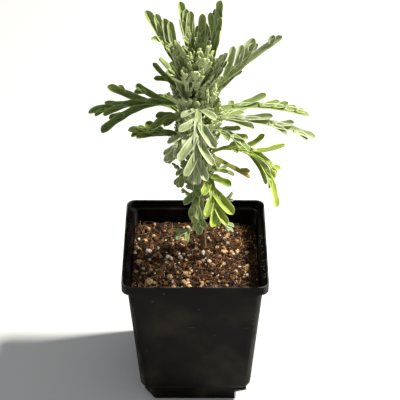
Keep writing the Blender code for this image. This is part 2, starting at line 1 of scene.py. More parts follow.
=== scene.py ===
"""The looks of a young fern-leaf lavender in a square nursery pot.

Every leaf is grown again as a lamina: a channelled blade along its midrib, a blade for each lobe and
a web in each fork between them, marked with where each point lies across and along its blade. Young
leaves fill the axils, crumbs, chips and fibres cover the soil, and the pot's plastic gets its
scuffs and dust, with a painted highlight on its pale lip and corners. Metres, +Z up.
"""

import json
import logging
import math
from collections.abc import Sequence
from dataclasses import dataclass, field, replace
from enum import Enum
from functools import cache

import bpy
import numpy as np
from mathutils import Matrix, Vector
from numpy.typing import NDArray

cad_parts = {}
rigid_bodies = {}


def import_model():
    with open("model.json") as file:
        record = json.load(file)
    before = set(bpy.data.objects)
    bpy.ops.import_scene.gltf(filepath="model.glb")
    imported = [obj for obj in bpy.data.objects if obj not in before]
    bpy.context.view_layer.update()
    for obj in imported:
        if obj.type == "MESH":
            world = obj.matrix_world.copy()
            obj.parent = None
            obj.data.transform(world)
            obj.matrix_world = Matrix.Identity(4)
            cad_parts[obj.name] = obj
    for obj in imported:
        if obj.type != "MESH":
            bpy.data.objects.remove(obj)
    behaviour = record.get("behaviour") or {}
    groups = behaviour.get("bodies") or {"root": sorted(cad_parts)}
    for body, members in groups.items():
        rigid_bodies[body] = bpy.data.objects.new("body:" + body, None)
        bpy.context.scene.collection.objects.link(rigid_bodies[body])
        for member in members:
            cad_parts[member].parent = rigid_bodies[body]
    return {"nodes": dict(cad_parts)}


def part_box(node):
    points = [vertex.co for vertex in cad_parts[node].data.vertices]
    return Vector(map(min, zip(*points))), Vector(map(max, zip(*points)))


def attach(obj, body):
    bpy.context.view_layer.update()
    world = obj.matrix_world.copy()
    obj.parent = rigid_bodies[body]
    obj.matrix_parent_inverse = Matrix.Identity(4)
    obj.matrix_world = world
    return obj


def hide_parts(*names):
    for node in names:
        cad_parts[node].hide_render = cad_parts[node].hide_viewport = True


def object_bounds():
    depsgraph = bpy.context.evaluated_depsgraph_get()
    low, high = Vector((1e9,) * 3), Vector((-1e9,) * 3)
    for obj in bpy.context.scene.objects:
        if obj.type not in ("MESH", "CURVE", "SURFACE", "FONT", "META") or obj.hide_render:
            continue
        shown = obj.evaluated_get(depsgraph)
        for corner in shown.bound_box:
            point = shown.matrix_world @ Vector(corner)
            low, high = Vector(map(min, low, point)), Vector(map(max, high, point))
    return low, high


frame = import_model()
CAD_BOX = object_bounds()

Array = NDArray[np.float64]
Colour = tuple[float, float, float]

log = logging.getLogger("lavender")

MM = 0.001

# Where each kind of piece starts its random numbers; its pieces count on from there
LEAF_SEED = 41
TUFT_SEED = 141
SHOOT_SEED = 241
GRAIN_SEED = 341
STONE_SEED = 441
FIBRE_SEED = 541
LEDGE_SEED = 641

# The plant's own sizes, shared with its solids
STEM_HEIGHT = 0.128  # above the soil
STEM_DIAMETERS = (0.0040, 0.0022)  # where it leaves the soil, and at its tip
SOIL_DROP = 0.016  # from the pot's rim to the soil
SOIL_RELIEF = 0.0012  # how high the soil's humps roll
FIT_GAP = 0.0003  # between a leaf's foot and the stem
FOOT_SHARE = 0.45  # a blade's width at its foot, as a share of its width
FOOT_WIDENING = 1.4  # how fast that share grows along it
LOBE_START_ANGLE = 8.0  # at which a lobe leaves its parent, in degrees
LOBE_BEND_POWER = 0.6  # how early a lobe bends out
DROOP_POWER = 1.2  # how late a leaf droops

POT_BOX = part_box("nursery_pot")
SOIL_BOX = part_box("potting_soil")
SOIL_TOP = POT_BOX[1].z - SOIL_DROP
SOIL_HALF = SOIL_BOX[1].x
GRAIN_BOXES = {name: np.array(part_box(name)) for name in frame["nodes"] if "_grain_" in name}

# Where the stem's line runs: share of its height above the soil, then x and y in millimetres
STEM_LINE = np.array([
    (-0.19, 5.0, 13.0),
    (0.00, 5.2, 13.0),
    (0.20, 4.2, 12.6),
    (0.42, 3.4, 13.2),
    (0.64, 2.8, 12.8),
    (0.86, 2.6, 13.2),
    (1.00, 2.3, 13.4),
])

# Leaves: height as a share of the stem, heading, rise at the stem, droop by the tip, swing, roll at
# the stem and at the tip, length, width, lobes. A lobe is (share along its parent, length, spread,
# lift, width, forks); a positive length leaves the parent's left side, a negative one its right.
# Angles are in degrees, lengths and widths in millimetres.
LEAVES = {
    "leaf_front_upper": (0.871, -92, 20, 92, 2, 0, 0, 64, 4.1, (
        (0.12, 16, 66, -18, 4.2), (0.12, -15, 70, -20, 4.2), (0.3, -17, 62, -22, 4.2),
        (0.34, 25, 38, -18, 5.0), (0.48, -24, 42, -15, 5.2), (0.54, 22, 34, -8, 4.2),
        (0.66, -19, 34, -8, 4.2), (0.72, 17, 28, -6, 4.2), (0.8, -12, 26, 0, 4.2))),
    "leaf_front_lower": (0.521, -74, 22, 88, -8, 0, 0, 52, 4.1, (
        (0.22, 24, 36, -10, 5.0), (0.36, -16, 34, -8, 4.2), (0.48, 24, 32, -8, 5.5),
        (0.56, -18, 30, -8, 4.2), (0.68, 18, 26, 6, 4.2), (0.74, -14, 24, -4, 4.2))),
    "leaf_right_lower": (0.563, -12, 46, 118, -6, 0, 0, 56, 4.1, (
        (0.3, 12, 45, 10, 4.5), (0.34, -9, 60, -10, 3.2), (0.44, 19, 34, 40, 3.8),
        (0.54, 24, 30, 34, 4.0), (0.4, -32, 46, -74, 2.5),
        (0.46, -46, 56, -66, 4.0, ((0.45, 9, 40, 0, 3.0), (0.6, -7, 40, 0, 3.0),)),
        (0.84, 9, 50, 20, 3.2), (0.84, -8, 40, 0, 3.2))),
    "leaf_left_upper": (0.861, 178, 5, 24, 2, -15, -15, 66, 4.8, (
        (0.22, -26, 44, 10, 3.8, ((0.62, 9, 34, 0, 3.2),)),
        (0.36, -32, 22, 8, 4.8, ((0.58, -9, 45, 0, 3.2),)),
        (0.34, 40, 40, -12, 5.0, ((0.5, -12, 30, 0, 3.8),)), (0.6, 18, 36, -6, 4.2),
        (0.64, -14, 18, 8, 3.2), (0.8, 10, 34, 0, 3.2))),
    "leaf_crown_left": (0.914, 159, 58, 0, 0, -25, -35, 59, 5.1, (
        (0.3, -30, 20, 10, 4.2), (0.45, -24, 18, 8, 4.5), (0.62, -18, 16, 6, 4.2),
        (0.62, 10, 62, 0, 3.0))),
    "leaf_crown_back": (0.946, 118, 62, -6, 0, 0, 0, 52, 4.6, (
        (0.34, -26, 20, 4, 4.2), (0.5, 16, 14, 4, 4.2), (0.5, -20, 16, 4, 4.2),
        (0.64, -14, 18, 4, 4.2))),
    "leaf_crown_right": (0.924, 40, 64, -22, 10, 0, 0, 58, 5.1, (
        (0.28, 26, 24, 16, 4.2), (0.3, -24, 12, 26, 4.2), (0.48, 22, 22, 16, 4.2),
        (0.55, -18, 14, 24, 4.2), (0.75, 9, 34, 6, 4.2))),
    "leaf_upper_right": (0.882, 14, 43, 12, 0, 30, 45, 61, 3.7, (
        (0.24, 24, 44, 4, 3.8), (0.4, 18, 44, 4, 4.2),
        (0.46, 21, 38, 4, 6.2, ((0.5, -9, 30, 0, 5.0),)), (0.84, 7, 36, 0, 3.8))),
    "leaf_right_slender": (0.85, 30, 34, -14, -16, 30, 40, 38, 3.4, (
        (0.5, 12, 36, 0, 3.5), (0.66, -7, 34, 0, 3.0))),
    "leaf_right_upper": (0.823, 4, 10, 34, 0, 15, 15, 66, 4.6, (
        (0.28, 22, 20, 10, 3.8), (0.52, 14, 30, 10, 3.8), (0.64, 11, 32, 8, 3.8),
        (0.74, 10, 34, 8, 3.8), (0.86, 7, 36, 6, 3.8))),
    "leaf_right_silver": (0.797, -12, 6, 26, 2, 20, 20, 70, 4.6, (
        (0.16, -22, 20, -6, 4.2), (0.3, 22, 14, 0, 3.8), (0.58, -13, 34, -4, 3.8),
        (0.8, -10, 24, -4, 3.8), (0.6, 14, 22, 4, 3.8))),
    "leaf_left_slender": (0.892, 176, 30, -20, -18, -30, -30, 34, 3.0, (
        (0.55, 11, 44, 0, 2.8),)),
    "leaf_left_lower": (0.675, 178, 8, 4, 0, -10, -10, 42, 4.8, (
        (0.4, -17, 34, 6, 4.8), (0.42, 20, 26, -4, 4.8), (0.68, -9, 34, 4, 4.2),
        (0.68, 12, 28, -4, 4.2))),
    "leaf_left_small": (0.611, 204, 12, 50, 0, 0, 0, 22, 3.4, (
        (0.5, 8, 30, 0, 3.2), (0.5, -8, 30, 0, 3.2))),
    "leaf_left_broad": (0.807, 200, 10, 40, 0, 0, 0, 30, 5.8, (
        (0.35, 13, 26, 0, 5.2), (0.35, -15, 30, 0, 5.2), (0.65, -8, 34, 0, 4.2))),
    "leaf_front_left_lower": (0.468, -98, 14, 84, 6, 0, 0, 38, 4.1, (
        (0.35, 10, 24, 0, 4.2), (0.4, -15, 40, 0, 4.2), (0.65, 11, 22, 0, 4.2),
        (0.65, -10, 30, 0, 4.2))),
    "leaf_front_yellow": (0.611, -50, 0, 34, 44, 0, 0, 36, 3.4, (
        (0.72, 9, 28, 20, 3.5),)),
    "leaf_basal_left": (0.138, -148, 20, 50, 0, 0, 0, 19, 2.3, (
        (0.3, 13, 62, -6, 2.5), (0.4, -11, 44, 6, 2.5), (0.7, 6, 36, 0, 2.5))),
    "leaf_basal_pale": (0.234, -26, -5, 40, 0, 0, 0, 22, 2.3, (
        (0.55, 9, 34, 0, 2.5), (0.55, -8, 34, 0, 2.5), (0.3, 8, 30, 10, 2.5))),
    "leaf_low_right": (0.213, -2, 34, -30, 0, 0, 0, 26, 2.8, (
        (0.6, -8, 40, -10, 2.8),)),
    "leaf_crown_centre": (0.956, 196, 74, 6, 0, 0, 0, 34, 4.1, (
        (0.3, 16, 24, 0, 4.2), (0.3, -18, 24, 0, 4.2), (0.6, 11, 24, 0, 4.2), (0.6, -11, 24, 0, 4.2))),
    "leaf_crown_front": (0.967, -80, 68, 10, 0, 0, 0, 30, 4.1, (
        (0.3, 15, 26, 0, 4.2), (0.3, -15, 26, 0, 4.2), (0.6, 10, 24, 0, 4.2), (0.6, -10, 24, 0, 4.2))),
    "leaf_crown_small_right": (0.914, -22, 62, -4, 0, 40, 40, 36, 4.6, (
        (0.35, 16, 22, 6, 4.2), (0.35, -15, 22, 6, 4.5), (0.6, 11, 20, 4, 4.2), (0.6, -11, 22, 0, 4.2))),
    "leaf_back_upper": (0.882, 86, 30, 20, 0, 0, 0, 50, 4.6, (
        (0.35, 20, 34, 0, 4.2), (0.35, -20, 34, 0, 4.2), (0.55, 16, 34, 0, 4.2),
        (0.6, -15, 34, 0, 4.2), (0.78, 9, 34, 0, 4.2))),
    "leaf_back_left": (0.701, 124, 20, 40, 0, 0, 0, 48, 4.6, (
        (0.35, 18, 34, 0, 4.2), (0.4, -18, 34, 0, 4.2), (0.6, 14, 34, 0, 4.2), (0.65, -13, 34, 0, 4.2))),
    "leaf_back_right": (0.659, 52, 22, 40, 0, 0, 0, 44, 4.6, (
        (0.35, 18, 34, 0, 4.2), (0.4, -18, 34, 0, 4.2), (0.6, 14, 34, 0, 4.2), (0.65, -13, 34, 0, 4.2))),
    "leaf_back_lower": (0.436, 96, 24, 70, 0, 0, 0, 40, 4.1, (
        (0.35, 15, 34, 0, 4.2), (0.4, -15, 34, 0, 4.2), (0.65, 11, 34, 0, 4.2))),
    "leaf_middle_left": (0.74, 236, 14, 66, 0, 0, 0, 34, 4.0, (
        (0.3, 15, 40, -6, 4.2), (0.32, -14, 40, -6, 4.2), (0.55, 12, 32, -4, 4.0),
        (0.58, -12, 32, -4, 4.0), (0.78, -8, 30, 0, 3.6))),
    "leaf_middle_right": (0.735, -34, 22, 64, 0, 0, 0, 36, 4.0, (
        (0.3, 15, 36, -6, 4.2), (0.32, -14, 36, -6, 4.2), (0.55, 12, 32, -4, 4.0),
        (0.58, -11, 32, -4, 4.0))),
    "leaf_lower_left": (0.545, 234, 16, 80, 0, 0, 0, 24, 3.8, (
        (0.35, 11, 34, -6, 3.8), (0.38, -10, 34, -6, 3.8), (0.62, 9, 30, 0, 3.4),
        (0.66, -8, 30, 0, 3.4))),
    "leaf_lower_right": (0.47, -6, 30, 70, 0, 0, 0, 20, 3.2, (
        (0.4, 8, 34, 0, 3.0), (0.42, -8, 34, 0, 3.0))),
    "leaf_lower_front": (0.37, -92, 6, 76, 0, 0, 0, 32, 3.8, (
        (0.35, 12, 34, -6, 4.0), (0.38, -13, 34, -6, 4.0), (0.62, 10, 28, 0, 3.6),
        (0.66, -9, 28, 0, 3.6))),
    "leaf_crown_middle_left": (0.92, 214, 50, -6, 0, -20, -30, 42, 4.2, (
        (0.3, 18, 28, 4, 4.4), (0.3, -18, 26, 4, 4.4), (0.52, 13, 24, 2, 4.0), (0.55, -14, 24, 2, 4.0))),
    "leaf_crown_middle_back": (0.985, 80, 70, -6, 0, 0, 0, 40, 4.2, (
        (0.3, 14, 22, 6, 4.0), (0.32, -12, 20, 6, 4.0), (0.55, 11, 20, 4, 3.6), (0.58, -9, 20, 4, 3.6))),
    "leaf_crown_front_left": (0.93, 260, 58, 4, 0, 0, 0, 30, 4.0, (
        (0.32, 14, 28, 0, 4.0), (0.32, -14, 28, 0, 4.0), (0.6, 9, 24, 0, 3.6), (0.6, -9, 24, 0, 3.6))),
}

def small_tuft(share: float, heading: float, length: float, reach: float) -> tuple:
    """The row of a small tuft of four lobes.

    Args:
        share: Its height as a share of the stem.
        heading: Which way it faces.
        length: Its length.
        reach: The length of its lower two lobes.

    Returns:
        The row.
    """
    low = ((0.15, reach, 55, 20, 2.4), (0.15, -reach, 55, 20, 2.4))
    high = ((0.4, 8, 40, 40, 2.2), (0.4, -8, 40, -30, 2.2))
    return share, heading, 50, 0, 0, 0, 0, length, 2.4, low + high


def large_tuft(*row: float) -> tuple:
    """The row of a larger tuft, with five lobes in proportion to its length and its width.

    Args:
        *row: Its own row as far as the width.

    Returns:
        The whole row.
    """
    length, width = row[-2:]
    parts = (
        (0.2, 0.62, 44, 16, 1.0),
        (0.24, -0.6, 44, 12, 1.0),
        (0.46, 0.5, 36, 22, 1.0),
        (0.5, -0.46, 34, 6, 1.0),
        (0.72, 0.3, 34, 6, 0.85),
    )
    lobes = [
        (share, round(long * length, 1), spread, lift, round(wide * width, 1))
        for share, long, spread, lift, wide in parts
    ]
    return (*row, tuple(lobes))


# Tufts of young leaves in the leaf axils, in the same terms
TUFTS = {
    "tuft_left": small_tuft(0.85, 228, 13, 12),
    "tuft_front_right": small_tuft(0.782, -60, 13, 12),
    "tuft_right_lower": small_tuft(0.7, 24, 12, 11),
    "tuft_left_lower": small_tuft(0.64, 258, 12, 11),
    "tuft_crown_front": large_tuft(0.938, 317, 63, 12, 0, 27, 6, 18, 2.3),
    "tuft_crown_top": large_tuft(0.99, 322, 80, 2, 0, -16, 8, 26, 2.4),
    "tuft_upper_left": large_tuft(0.821, 231, 47, -9, 0, 21, -22, 23, 2.7),
    "tuft_middle_front": large_tuft(0.709, 293, 43, 1, 0, -15, -11, 26, 3.0),
}


class LeafKind(Enum):
    """Ages of leaf with their own finish, and darker and lighter copies: painted shade and sunlight."""

    MATURE = "mature"
    # Painted shade: a darker copy of the mature colours, for the leaves on the side away from the light.
    SHADED = "shaded"
    SILVER = "silver"
    # Painted sunlight: a lighter copy of the mature colours, for leaves in the sun.
    PAINTED_SUNLIGHT = "sunlit"
    YELLOWING = "yellowing"
    BASAL = "basal"
    YOUNG = "young"


LEAVES_OF_KIND = {
    LeafKind.SHADED: (
        "leaf_left_upper", "leaf_left_lower", "leaf_left_slender", "leaf_left_small",
        "leaf_back_left", "leaf_back_lower", "leaf_left_broad",
    ),
    LeafKind.SILVER: (
        "leaf_front_upper", "leaf_upper_right", "leaf_right_silver", "leaf_crown_small_right",
        "leaf_middle_left",
    ),
    LeafKind.PAINTED_SUNLIGHT: ("leaf_right_lower", "leaf_front_lower"),
    LeafKind.YELLOWING: ("leaf_front_yellow",),
    LeafKind.BASAL: ("leaf_basal_pale", "leaf_low_right"),
}
LEAF_KINDS = {name: kind for kind, names in LEAVES_OF_KIND.items() for name in names}


# Surfaces


@dataclass(frozen=True)
class Shell:
    """A surface as whole arrays.

    Attributes:
        points: One row per point, in metres.
        faces: Arrays of faces, each array with its own number of corners.
    """

    points: Array
    faces: tuple[NDArray[np.int64], ...]


def tubes(rings: Array) -> Shell:
    """Closed tubes through rings of points, drawn to a point at both ends.

    A tube's surface is S(i, j): ring i from its start, point j around, with j taken modulo the
    ring's count, and each end is closed by a fan to the middle of its last ring. The rings run
    counterclockwise seen from the end that the tube grows towards.

    Args:
        rings: Points with the shape (tubes, rings, points around, 3).

    Returns:
        One shell with every tube.
    """
    count, rows, around = rings.shape[:3]
    points = with_middles(rings)
    turn = np.arange(around)
    after = (turn + 1) % around
    row = np.arange(rows - 1)[:, None] * around
    quads = np.stack([row + turn, row + after, row + after + around, row + turn + around], -1)
    last = (rows - 1) * around
    start_fan = np.stack([after, turn, np.full(around, rows * around)], 1)
    end_fan = np.stack([turn + last, after + last, np.full(around, rows * around + 1)], 1)
    shift = (np.arange(count) * (rows * around + 2))[:, None, None]
    fans = np.concatenate([start_fan, end_fan])
    return Shell(
        points.reshape(-1, 3),
        ((quads.reshape(-1, 4) + shift).reshape(-1, 4), (fans + shift).reshape(-1, 3)),
    )


def with_middles(values: Array) -> Array:
    """The values of each tube's points in a row, then the means of its first and its last ring.

    Args:
        values: Values with the shape (tubes, rings, points around, width).

    Returns:
        Values with the shape (tubes, points, width).
    """
    flat = values.reshape(len(values), -1, values.shape[-1])
    return np.concatenate([flat, values[:, (0, -1)].mean(axis=2)], axis=1)


def joined(shells: Sequence[Shell]) -> Shell:
    """Several shells as one.

    Args:
        shells: The shells, which keep their order.

    Returns:
        One shell.
    """
    starts = np.cumsum([0, *(len(shell.points) for shell in shells[:-1])])
    faces = [part + start for shell, start in zip(shells, starts) for part in shell.faces]
    return Shell(np.concatenate([shell.points for shell in shells]), tuple(faces))


def mesh_of(name: str, shell: Shell, smooth: bool = True) -> bpy.types.Mesh:
    """A Blender mesh with a shell's points and faces.

    Args:
        name: The mesh's name.
        shell: The surface to copy.
        smooth: Whether the faces are shaded smooth.

    Returns:
        The new mesh.
    """
    corners = np.concatenate([part.ravel() for part in shell.faces])
    sizes = np.concatenate([np.full(len(part), part.shape[1]) for part in shell.faces])
    mesh = bpy.data.meshes.new(name)
    mesh.vertices.add(len(shell.points))
    mesh.vertices.foreach_set("co", shell.points.astype(np.float32).ravel())
    mesh.loops.add(len(corners))
    mesh.loops.foreach_set("vertex_index", corners.astype(np.int32))
    mesh.polygons.add(len(sizes))
    mesh.polygons.foreach_set("loop_start", (np.cumsum(sizes) - sizes).astype(np.int32))
    mesh.update(calc_edges=True)
    mesh.validate()
    if smooth:
        mesh.shade_smooth()
    else:
        mesh.shade_flat()
    return mesh


def mark(mesh: bpy.types.Mesh, name: str, values: Array) -> None:
    """Keeps a number or a vector for each point of a mesh, for its material to read.

    Args:
        mesh: The mesh.
        name: The mark's name.
        values: One number or one row of three for each point.
    """
    if values.ndim == 1:
        mesh.attributes.new(name, "FLOAT", "POINT").data.foreach_set("value", values.astype(np.float32))
    else:
        made = mesh.attributes.new(name, "FLOAT_VECTOR", "POINT")
        made.data.foreach_set("vector", values.astype(np.float32).ravel())


def place(
    mesh: bpy.types.Mesh, look: bpy.types.Material, stands_for: Sequence[str] = ()
) -> bpy.types.Object:
    """Puts a finished mesh in the scene as a piece of the plant or its pot.

    Args:
        mesh: The piece's mesh, already in its place.
        look: Its material.
        stands_for: The solids that it is shown in place of.

    Returns:
        The new piece.
    """
    mesh.materials.clear()
    mesh.materials.append(look)
    piece = bpy.data.objects.new(mesh.name, mesh)
    bpy.context.scene.collection.objects.link(piece)
    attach(piece, "root")
    if stands_for:
        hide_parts(*stands_for)
    log.info("%s: %d points", piece.name, len(mesh.vertices))
    return piece


def points_of(mesh: bpy.types.Mesh) -> Array:
    """The places of a mesh's points.

    Args:
        mesh: The mesh.

    Returns:
        One row for each point.
    """
    values = np.empty(len(mesh.vertices) * 3, np.float32)
    mesh.vertices.foreach_get("co", values)
    return values.reshape(-1, 3).astype(np.float64)


def dress(name: str, look: bpy.types.Material) -> None:
    """Gives one of the solids a material.

    Args:
        name: The solid's node.
        look: The material.
    """
    solid = frame["nodes"][name]
    solid.data.materials.clear()
    solid.data.materials.append(look)
    log.info("%s: dressed", name)


def hashed(a: Array, b: Array, seed: int) -> Array:
    """A repeatable number for each pair of whole numbers: the fraction of a large sine of both.

    Args:
        a: The first of each pair.
        b: The second of each pair.
        seed: Which set of numbers.

    Returns:
        Numbers from 0 to 1.
    """
    mixed = np.sin(a * 127.1 + b * 311.7 + seed * 74.7) * 43758.5453
    return mixed - np.floor(mixed)


def lumps(x: Array, y: Array, size: float, seed: int) -> Array:
    """A field of round lumps: 1 - d^2 near the nearest jittered grid point, each its own height.

    Args:
        x: Places along X.
        y: Places along Y.
        size: The grid's pitch, about a lump's width.
        seed: Which field.

    Returns:
        Heights from 0 to 1.
    """
    a, b = x / size, y / size
    found = np.zeros(np.broadcast(a, b).shape)
    for down in (-1, 0, 1):
        for right in (-1, 0, 1):
            column, row = np.floor(a) + right, np.floor(b) + down
            middle_a = column + 0.15 + 0.7 * hashed(column, row, seed)
            middle_b = row + 0.15 + 0.7 * hashed(column, row, seed + 1)
            reach = 0.35 + 0.4 * hashed(column, row, seed + 2)
            away = ((a - middle_a) ** 2 + (b - middle_b) ** 2) / reach**2
            found = np.maximum(found, reach * np.sqrt(np.clip(1 - away, 0, 1)))
    return found


# Finishes


class Effect(Enum):
    """The patterns that several materials share, each a node group built once."""

    MOTTLE = "mottle"
    SPECKLE = "speckle"
    DOWN = "down"
    SCRATCHES = "scratches"


class Sheet:
    """A node tree with short ways to add to it."""

    def __init__(self, tree: bpy.types.NodeTree) -> None:
        """Takes the tree to add to."""
        self.tree = tree

    def feed(self, socket: bpy.types.NodeSocket, value: object) -> None:
        """Links a socket to another, or sets its own value.

        Args:
            socket: The input socket.
            value: An output socket, a number, a vector or a colour.
        """
        if isinstance(value, bpy.types.NodeSocket):
            self.tree.links.new(value, socket)
        elif isinstance(value, tuple) and len(value) == 3 and socket.type == "RGBA":
            socket.default_value = (*value, 1.0)
        else:
            socket.default_value = value

    def node(
        self, kind: str, inputs: dict[str | int, object] | None = None, **settings: object
    ) -> bpy.types.Node:
        """A new node.

        Args:
            kind: Its type.
            inputs: What to feed each of its inputs.
            **settings: Its other properties.

        Returns:
            The node.
        """
        made = self.tree.nodes.new(kind)
        for key, value in settings.items():
            setattr(made, key, value)
        for key, value in (inputs or {}).items():
            self.feed(made.inputs[key], value)
        return made

    def math(self, operation: str, *values: object) -> bpy.types.NodeSocket:
        """A Math node's result, kept from 0 to 1."""
        made = self.node("ShaderNodeMath", dict(enumerate(values)), operation=operation, use_clamp=True)
        return made.outputs[0]

    def size(self, value: bpy.types.NodeSocket) -> bpy.types.NodeSocket:
        """A number without its sign."""
        return self.node("ShaderNodeMath", {0: value}, operation="ABSOLUTE").outputs[0]

    def mix(self, share: object, first: object, second: object) -> bpy.types.NodeSocket:
        """A colour that goes from first to second as share goes from 0 to 1."""
        made = self.node("ShaderNodeMix", {0: share, 6: first, 7: second}, data_type="RGBA")
        return made.outputs[2]

    def step(self, value: object, low: object, high: object) -> bpy.types.NodeSocket:
        """0 below low and 1 above high, smooth between them, or the reverse where low is above high.

        Args:
            value: The number to judge.
            low: Where the result is 0.
            high: Where the result is 1.

        Returns:
            The result's socket.
        """
        made = self.node(
            "ShaderNodeMapRange",
            {"Value": value, "From Min": low, "From Max": high},
            interpolation_type="SMOOTHSTEP",
        )
        return made.outputs[0]

    def noise(
        self, place_at: object, scale: object, detail: float = 3.0, twist: float = 0.0
    ) -> bpy.types.NodeSocket:
        """Cloudy noise from 0 to 1."""
        inputs = {"Vector": place_at, "Scale": scale, "Detail": detail, "Distortion": twist}
        return self.node("ShaderNodeTexNoise", inputs).outputs[0]

    def effect(self, kind: Effect, vector: object, scale: float, amount: float = 1.0) -> bpy.types.NodeSocket:
        """A shared pattern placed in this tree with its own values.

        Args:
            kind: Which pattern.
            vector: The place on the object.
            scale: How fine the pattern is, per metre.
            amount: How much of it there is, from 0 to 1.

        Returns:
            The pattern's mask.
        """
        inputs = {"Vector": vector, "Scale": scale, "Amount": amount}
        made = self.node("ShaderNodeGroup", node_tree=effect_group(kind))
        for key, value in inputs.items():
            self.feed(made.inputs[key], value)
        return made.outputs[0]


def effect_group(kind: Effect) -> bpy.types.NodeTree:
    """The node group of a shared pattern, built the first time that it is asked for.

    Args:
        kind: Which pattern.

    Returns:
        A group with the inputs Vector, Scale and Amount and the output Mask.
    """
    found = bpy.data.node_groups.get(kind.value)
    if found:
        return found
    tree = bpy.data.node_groups.new(kind.value, "ShaderNodeTree")
    for name, form in (("Vector", "Vector"), ("Scale", "Float"), ("Amount", "Float")):
        tree.interface.new_socket(name, in_out="INPUT", socket_type=f"NodeSocket{form}")
    tree.interface.new_socket("Mask", in_out="OUTPUT", socket_type="NodeSocketFloat")
    sheet = Sheet(tree)
    given = sheet.node("NodeGroupInput").outputs
    place_at, scale, amount = given["Vector"], given["Scale"], given["Amount"]
    if kind is Effect.MOTTLE:
        wide = sheet.noise(place_at, scale, 4.0)
        mask = sheet.math("MULTIPLY", sheet.step(wide, 0.36, 0.66), amount)
    elif kind is Effect.SPECKLE:
        cells = sheet.node("ShaderNodeTexVoronoi", {"Vector": place_at, "Scale": scale})
        pick = sheet.node("ShaderNodeSeparateColor", {0: cells.outputs["Color"]}).outputs[0]
        near = sheet.step(cells.outputs["Distance"], 0.42, 0.2)
        mask = sheet.math("MULTIPLY", near, sheet.math("LESS_THAN", pick, amount))
    elif kind is Effect.DOWN:
        hairs = sheet.noise(place_at, scale, 2.0, 1.2)
        mask = sheet.math("MULTIPLY", sheet.step(hairs, 0.4, 0.7), amount)
    else:
        turned = sheet.node(
            "ShaderNodeMapping",
            {"Vector": place_at, "Rotation": (0.25, 0.2, 0.3), "Scale": (0.06, 0.8, 1.0)},
        )
        thin = sheet.noise(turned.outputs[0], scale, 2.0, 0.3)
        where = sheet.step(sheet.noise(place_at, 60.0, 2.0), 0.55, 0.7)
        mask = sheet.math("MULTIPLY", sheet.step(thin, 0.66, 0.74), sheet.math("MULTIPLY", where, amount))
    sheet.feed(sheet.node("NodeGroupOutput").inputs["Mask"], mask)
    return tree


def new_material(name: str) -> tuple[bpy.types.Material, Sheet, bpy.types.Node, bpy.types.NodeSocket]:
    """A material with a Principled shader.

    Args:
        name: The material's name.

    Returns:
        The material, its sheet, its shader and the place on the object in metres.
    """
    made = bpy.data.materials.new(name)
    made.use_nodes = True
    sheet = Sheet(made.node_tree)
    shader = made.node_tree.nodes["Principled BSDF"]
    place_at = sheet.node("ShaderNodeTexCoord").outputs["Object"]
    return made, sheet, shader, place_at


def roughen(
    sheet: Sheet, shader: bpy.types.Node, height: bpy.types.NodeSocket, strength: float, depth: float
) -> None:
    """Gives a shader a bumped normal.

    Args:
        sheet: The shader's sheet.
        shader: The shader.
        height: The height's socket.
        strength: How strongly it shows, from 0 to 1.
        depth: How deep a height of 1 is, in metres.
    """
    bump = sheet.node("ShaderNodeBump", {"Height": height, "Strength": strength, "Distance": depth})
    sheet.feed(shader.inputs["Normal"], bump.outputs[0])


@dataclass(frozen=True)
class LeafFinish:
    """A leaf's skin: green above, silvery below, paler margins and ribs, all under fine down.

    Each channel is darker along its middle on the upper side: painted shade.

    Attributes:
        kind: The kind of leaf.
        upper: The upper side's colour.
        lower: The lower side's colour.
        margin: The colour of the raised margins and of the ribs beneath.
        tip: The colour that the tips go towards.
        down: How much of the down's silver shows, from 0 to 1.
        sheen: The shader's sheen.
        mottling: How fine its blotches are, per metre.
        hairs: How fine its down is, per metre.
        silver: What the down adds to half of the margin's colour.
    """

    kind: LeafKind
    upper: Colour
    lower: Colour
    margin: Colour
    tip: Colour
    down: float = 0.35
    sheen: float = 0.25
    mottling: float = 260.0
    hairs: float = 2600.0
    silver: Colour = (0.25, 0.27, 0.15)

    @cache
    def material(self) -> bpy.types.Material:
        """The finish as a material that reads the marks blade and tint, made once.

        Returns:
            The material.
        """
        made, sheet, shader, spot = new_material(f"{self.kind.value}_leaf")
        blade = sheet.node("ShaderNodeAttribute", attribute_name="blade").outputs["Vector"]
        parts = sheet.node("ShaderNodeSeparateXYZ", {0: blade}).outputs
        across, along, above = parts[0], parts[1], parts[2]
        tint = sheet.node("ShaderNodeAttribute", attribute_name="tint").outputs["Fac"]
        mottle = sheet.effect(Effect.MOTTLE, spot, self.mottling)
        down = sheet.effect(Effect.DOWN, spot, self.hairs, self.down)
        # Darker colours for the blotches and for the painted shade along each channel.
        blotches, groove_shade_colour = (tuple(c * share for c in self.upper) for share in (0.62, 0.4))
        top = sheet.mix(sheet.math("MULTIPLY", mottle, 0.5), self.upper, blotches)
        face = sheet.mix(above, self.lower, top)
        towards_tip = sheet.math("MULTIPLY", sheet.step(along, 0.35, 1.0), sheet.step(tint, 0.1, 1.0))
        face = sheet.mix(towards_tip, face, self.tip)
        rim = sheet.math("MULTIPLY", sheet.step(across, 0.66, 0.98), sheet.step(along, 0.1, 0.45))
        face = sheet.mix(rim, face, self.margin)
        # Painted shade: the upper side darkens along the middle of each channel.
        groove_shade = sheet.math("MULTIPLY", sheet.step(across, 0.2, 0.03), above)
        face = sheet.mix(sheet.math("MULTIPLY", groove_shade, 0.6), face, groove_shade_colour)
        silver = tuple(0.5 * c + d for c, d in zip(self.margin, self.silver))
        face = sheet.mix(down, face, silver)
        sheet.feed(shader.inputs["Base Color"], face)
        sheet.feed(shader.inputs["Roughness"], sheet.step(mottle, -1.2, 1.6))
        shader.inputs["Specular IOR Level"].default_value = 0.35
        shader.inputs["Sheen Weight"].default_value = self.sheen
        shader.inputs["Sheen Roughness"].default_value = 0.45
        shader.inputs["Sheen Tint"].default_value = (0.88, 0.94, 0.66, 1.0)
        roughen(sheet, shader, down, 0.5, 0.00012)
        return made


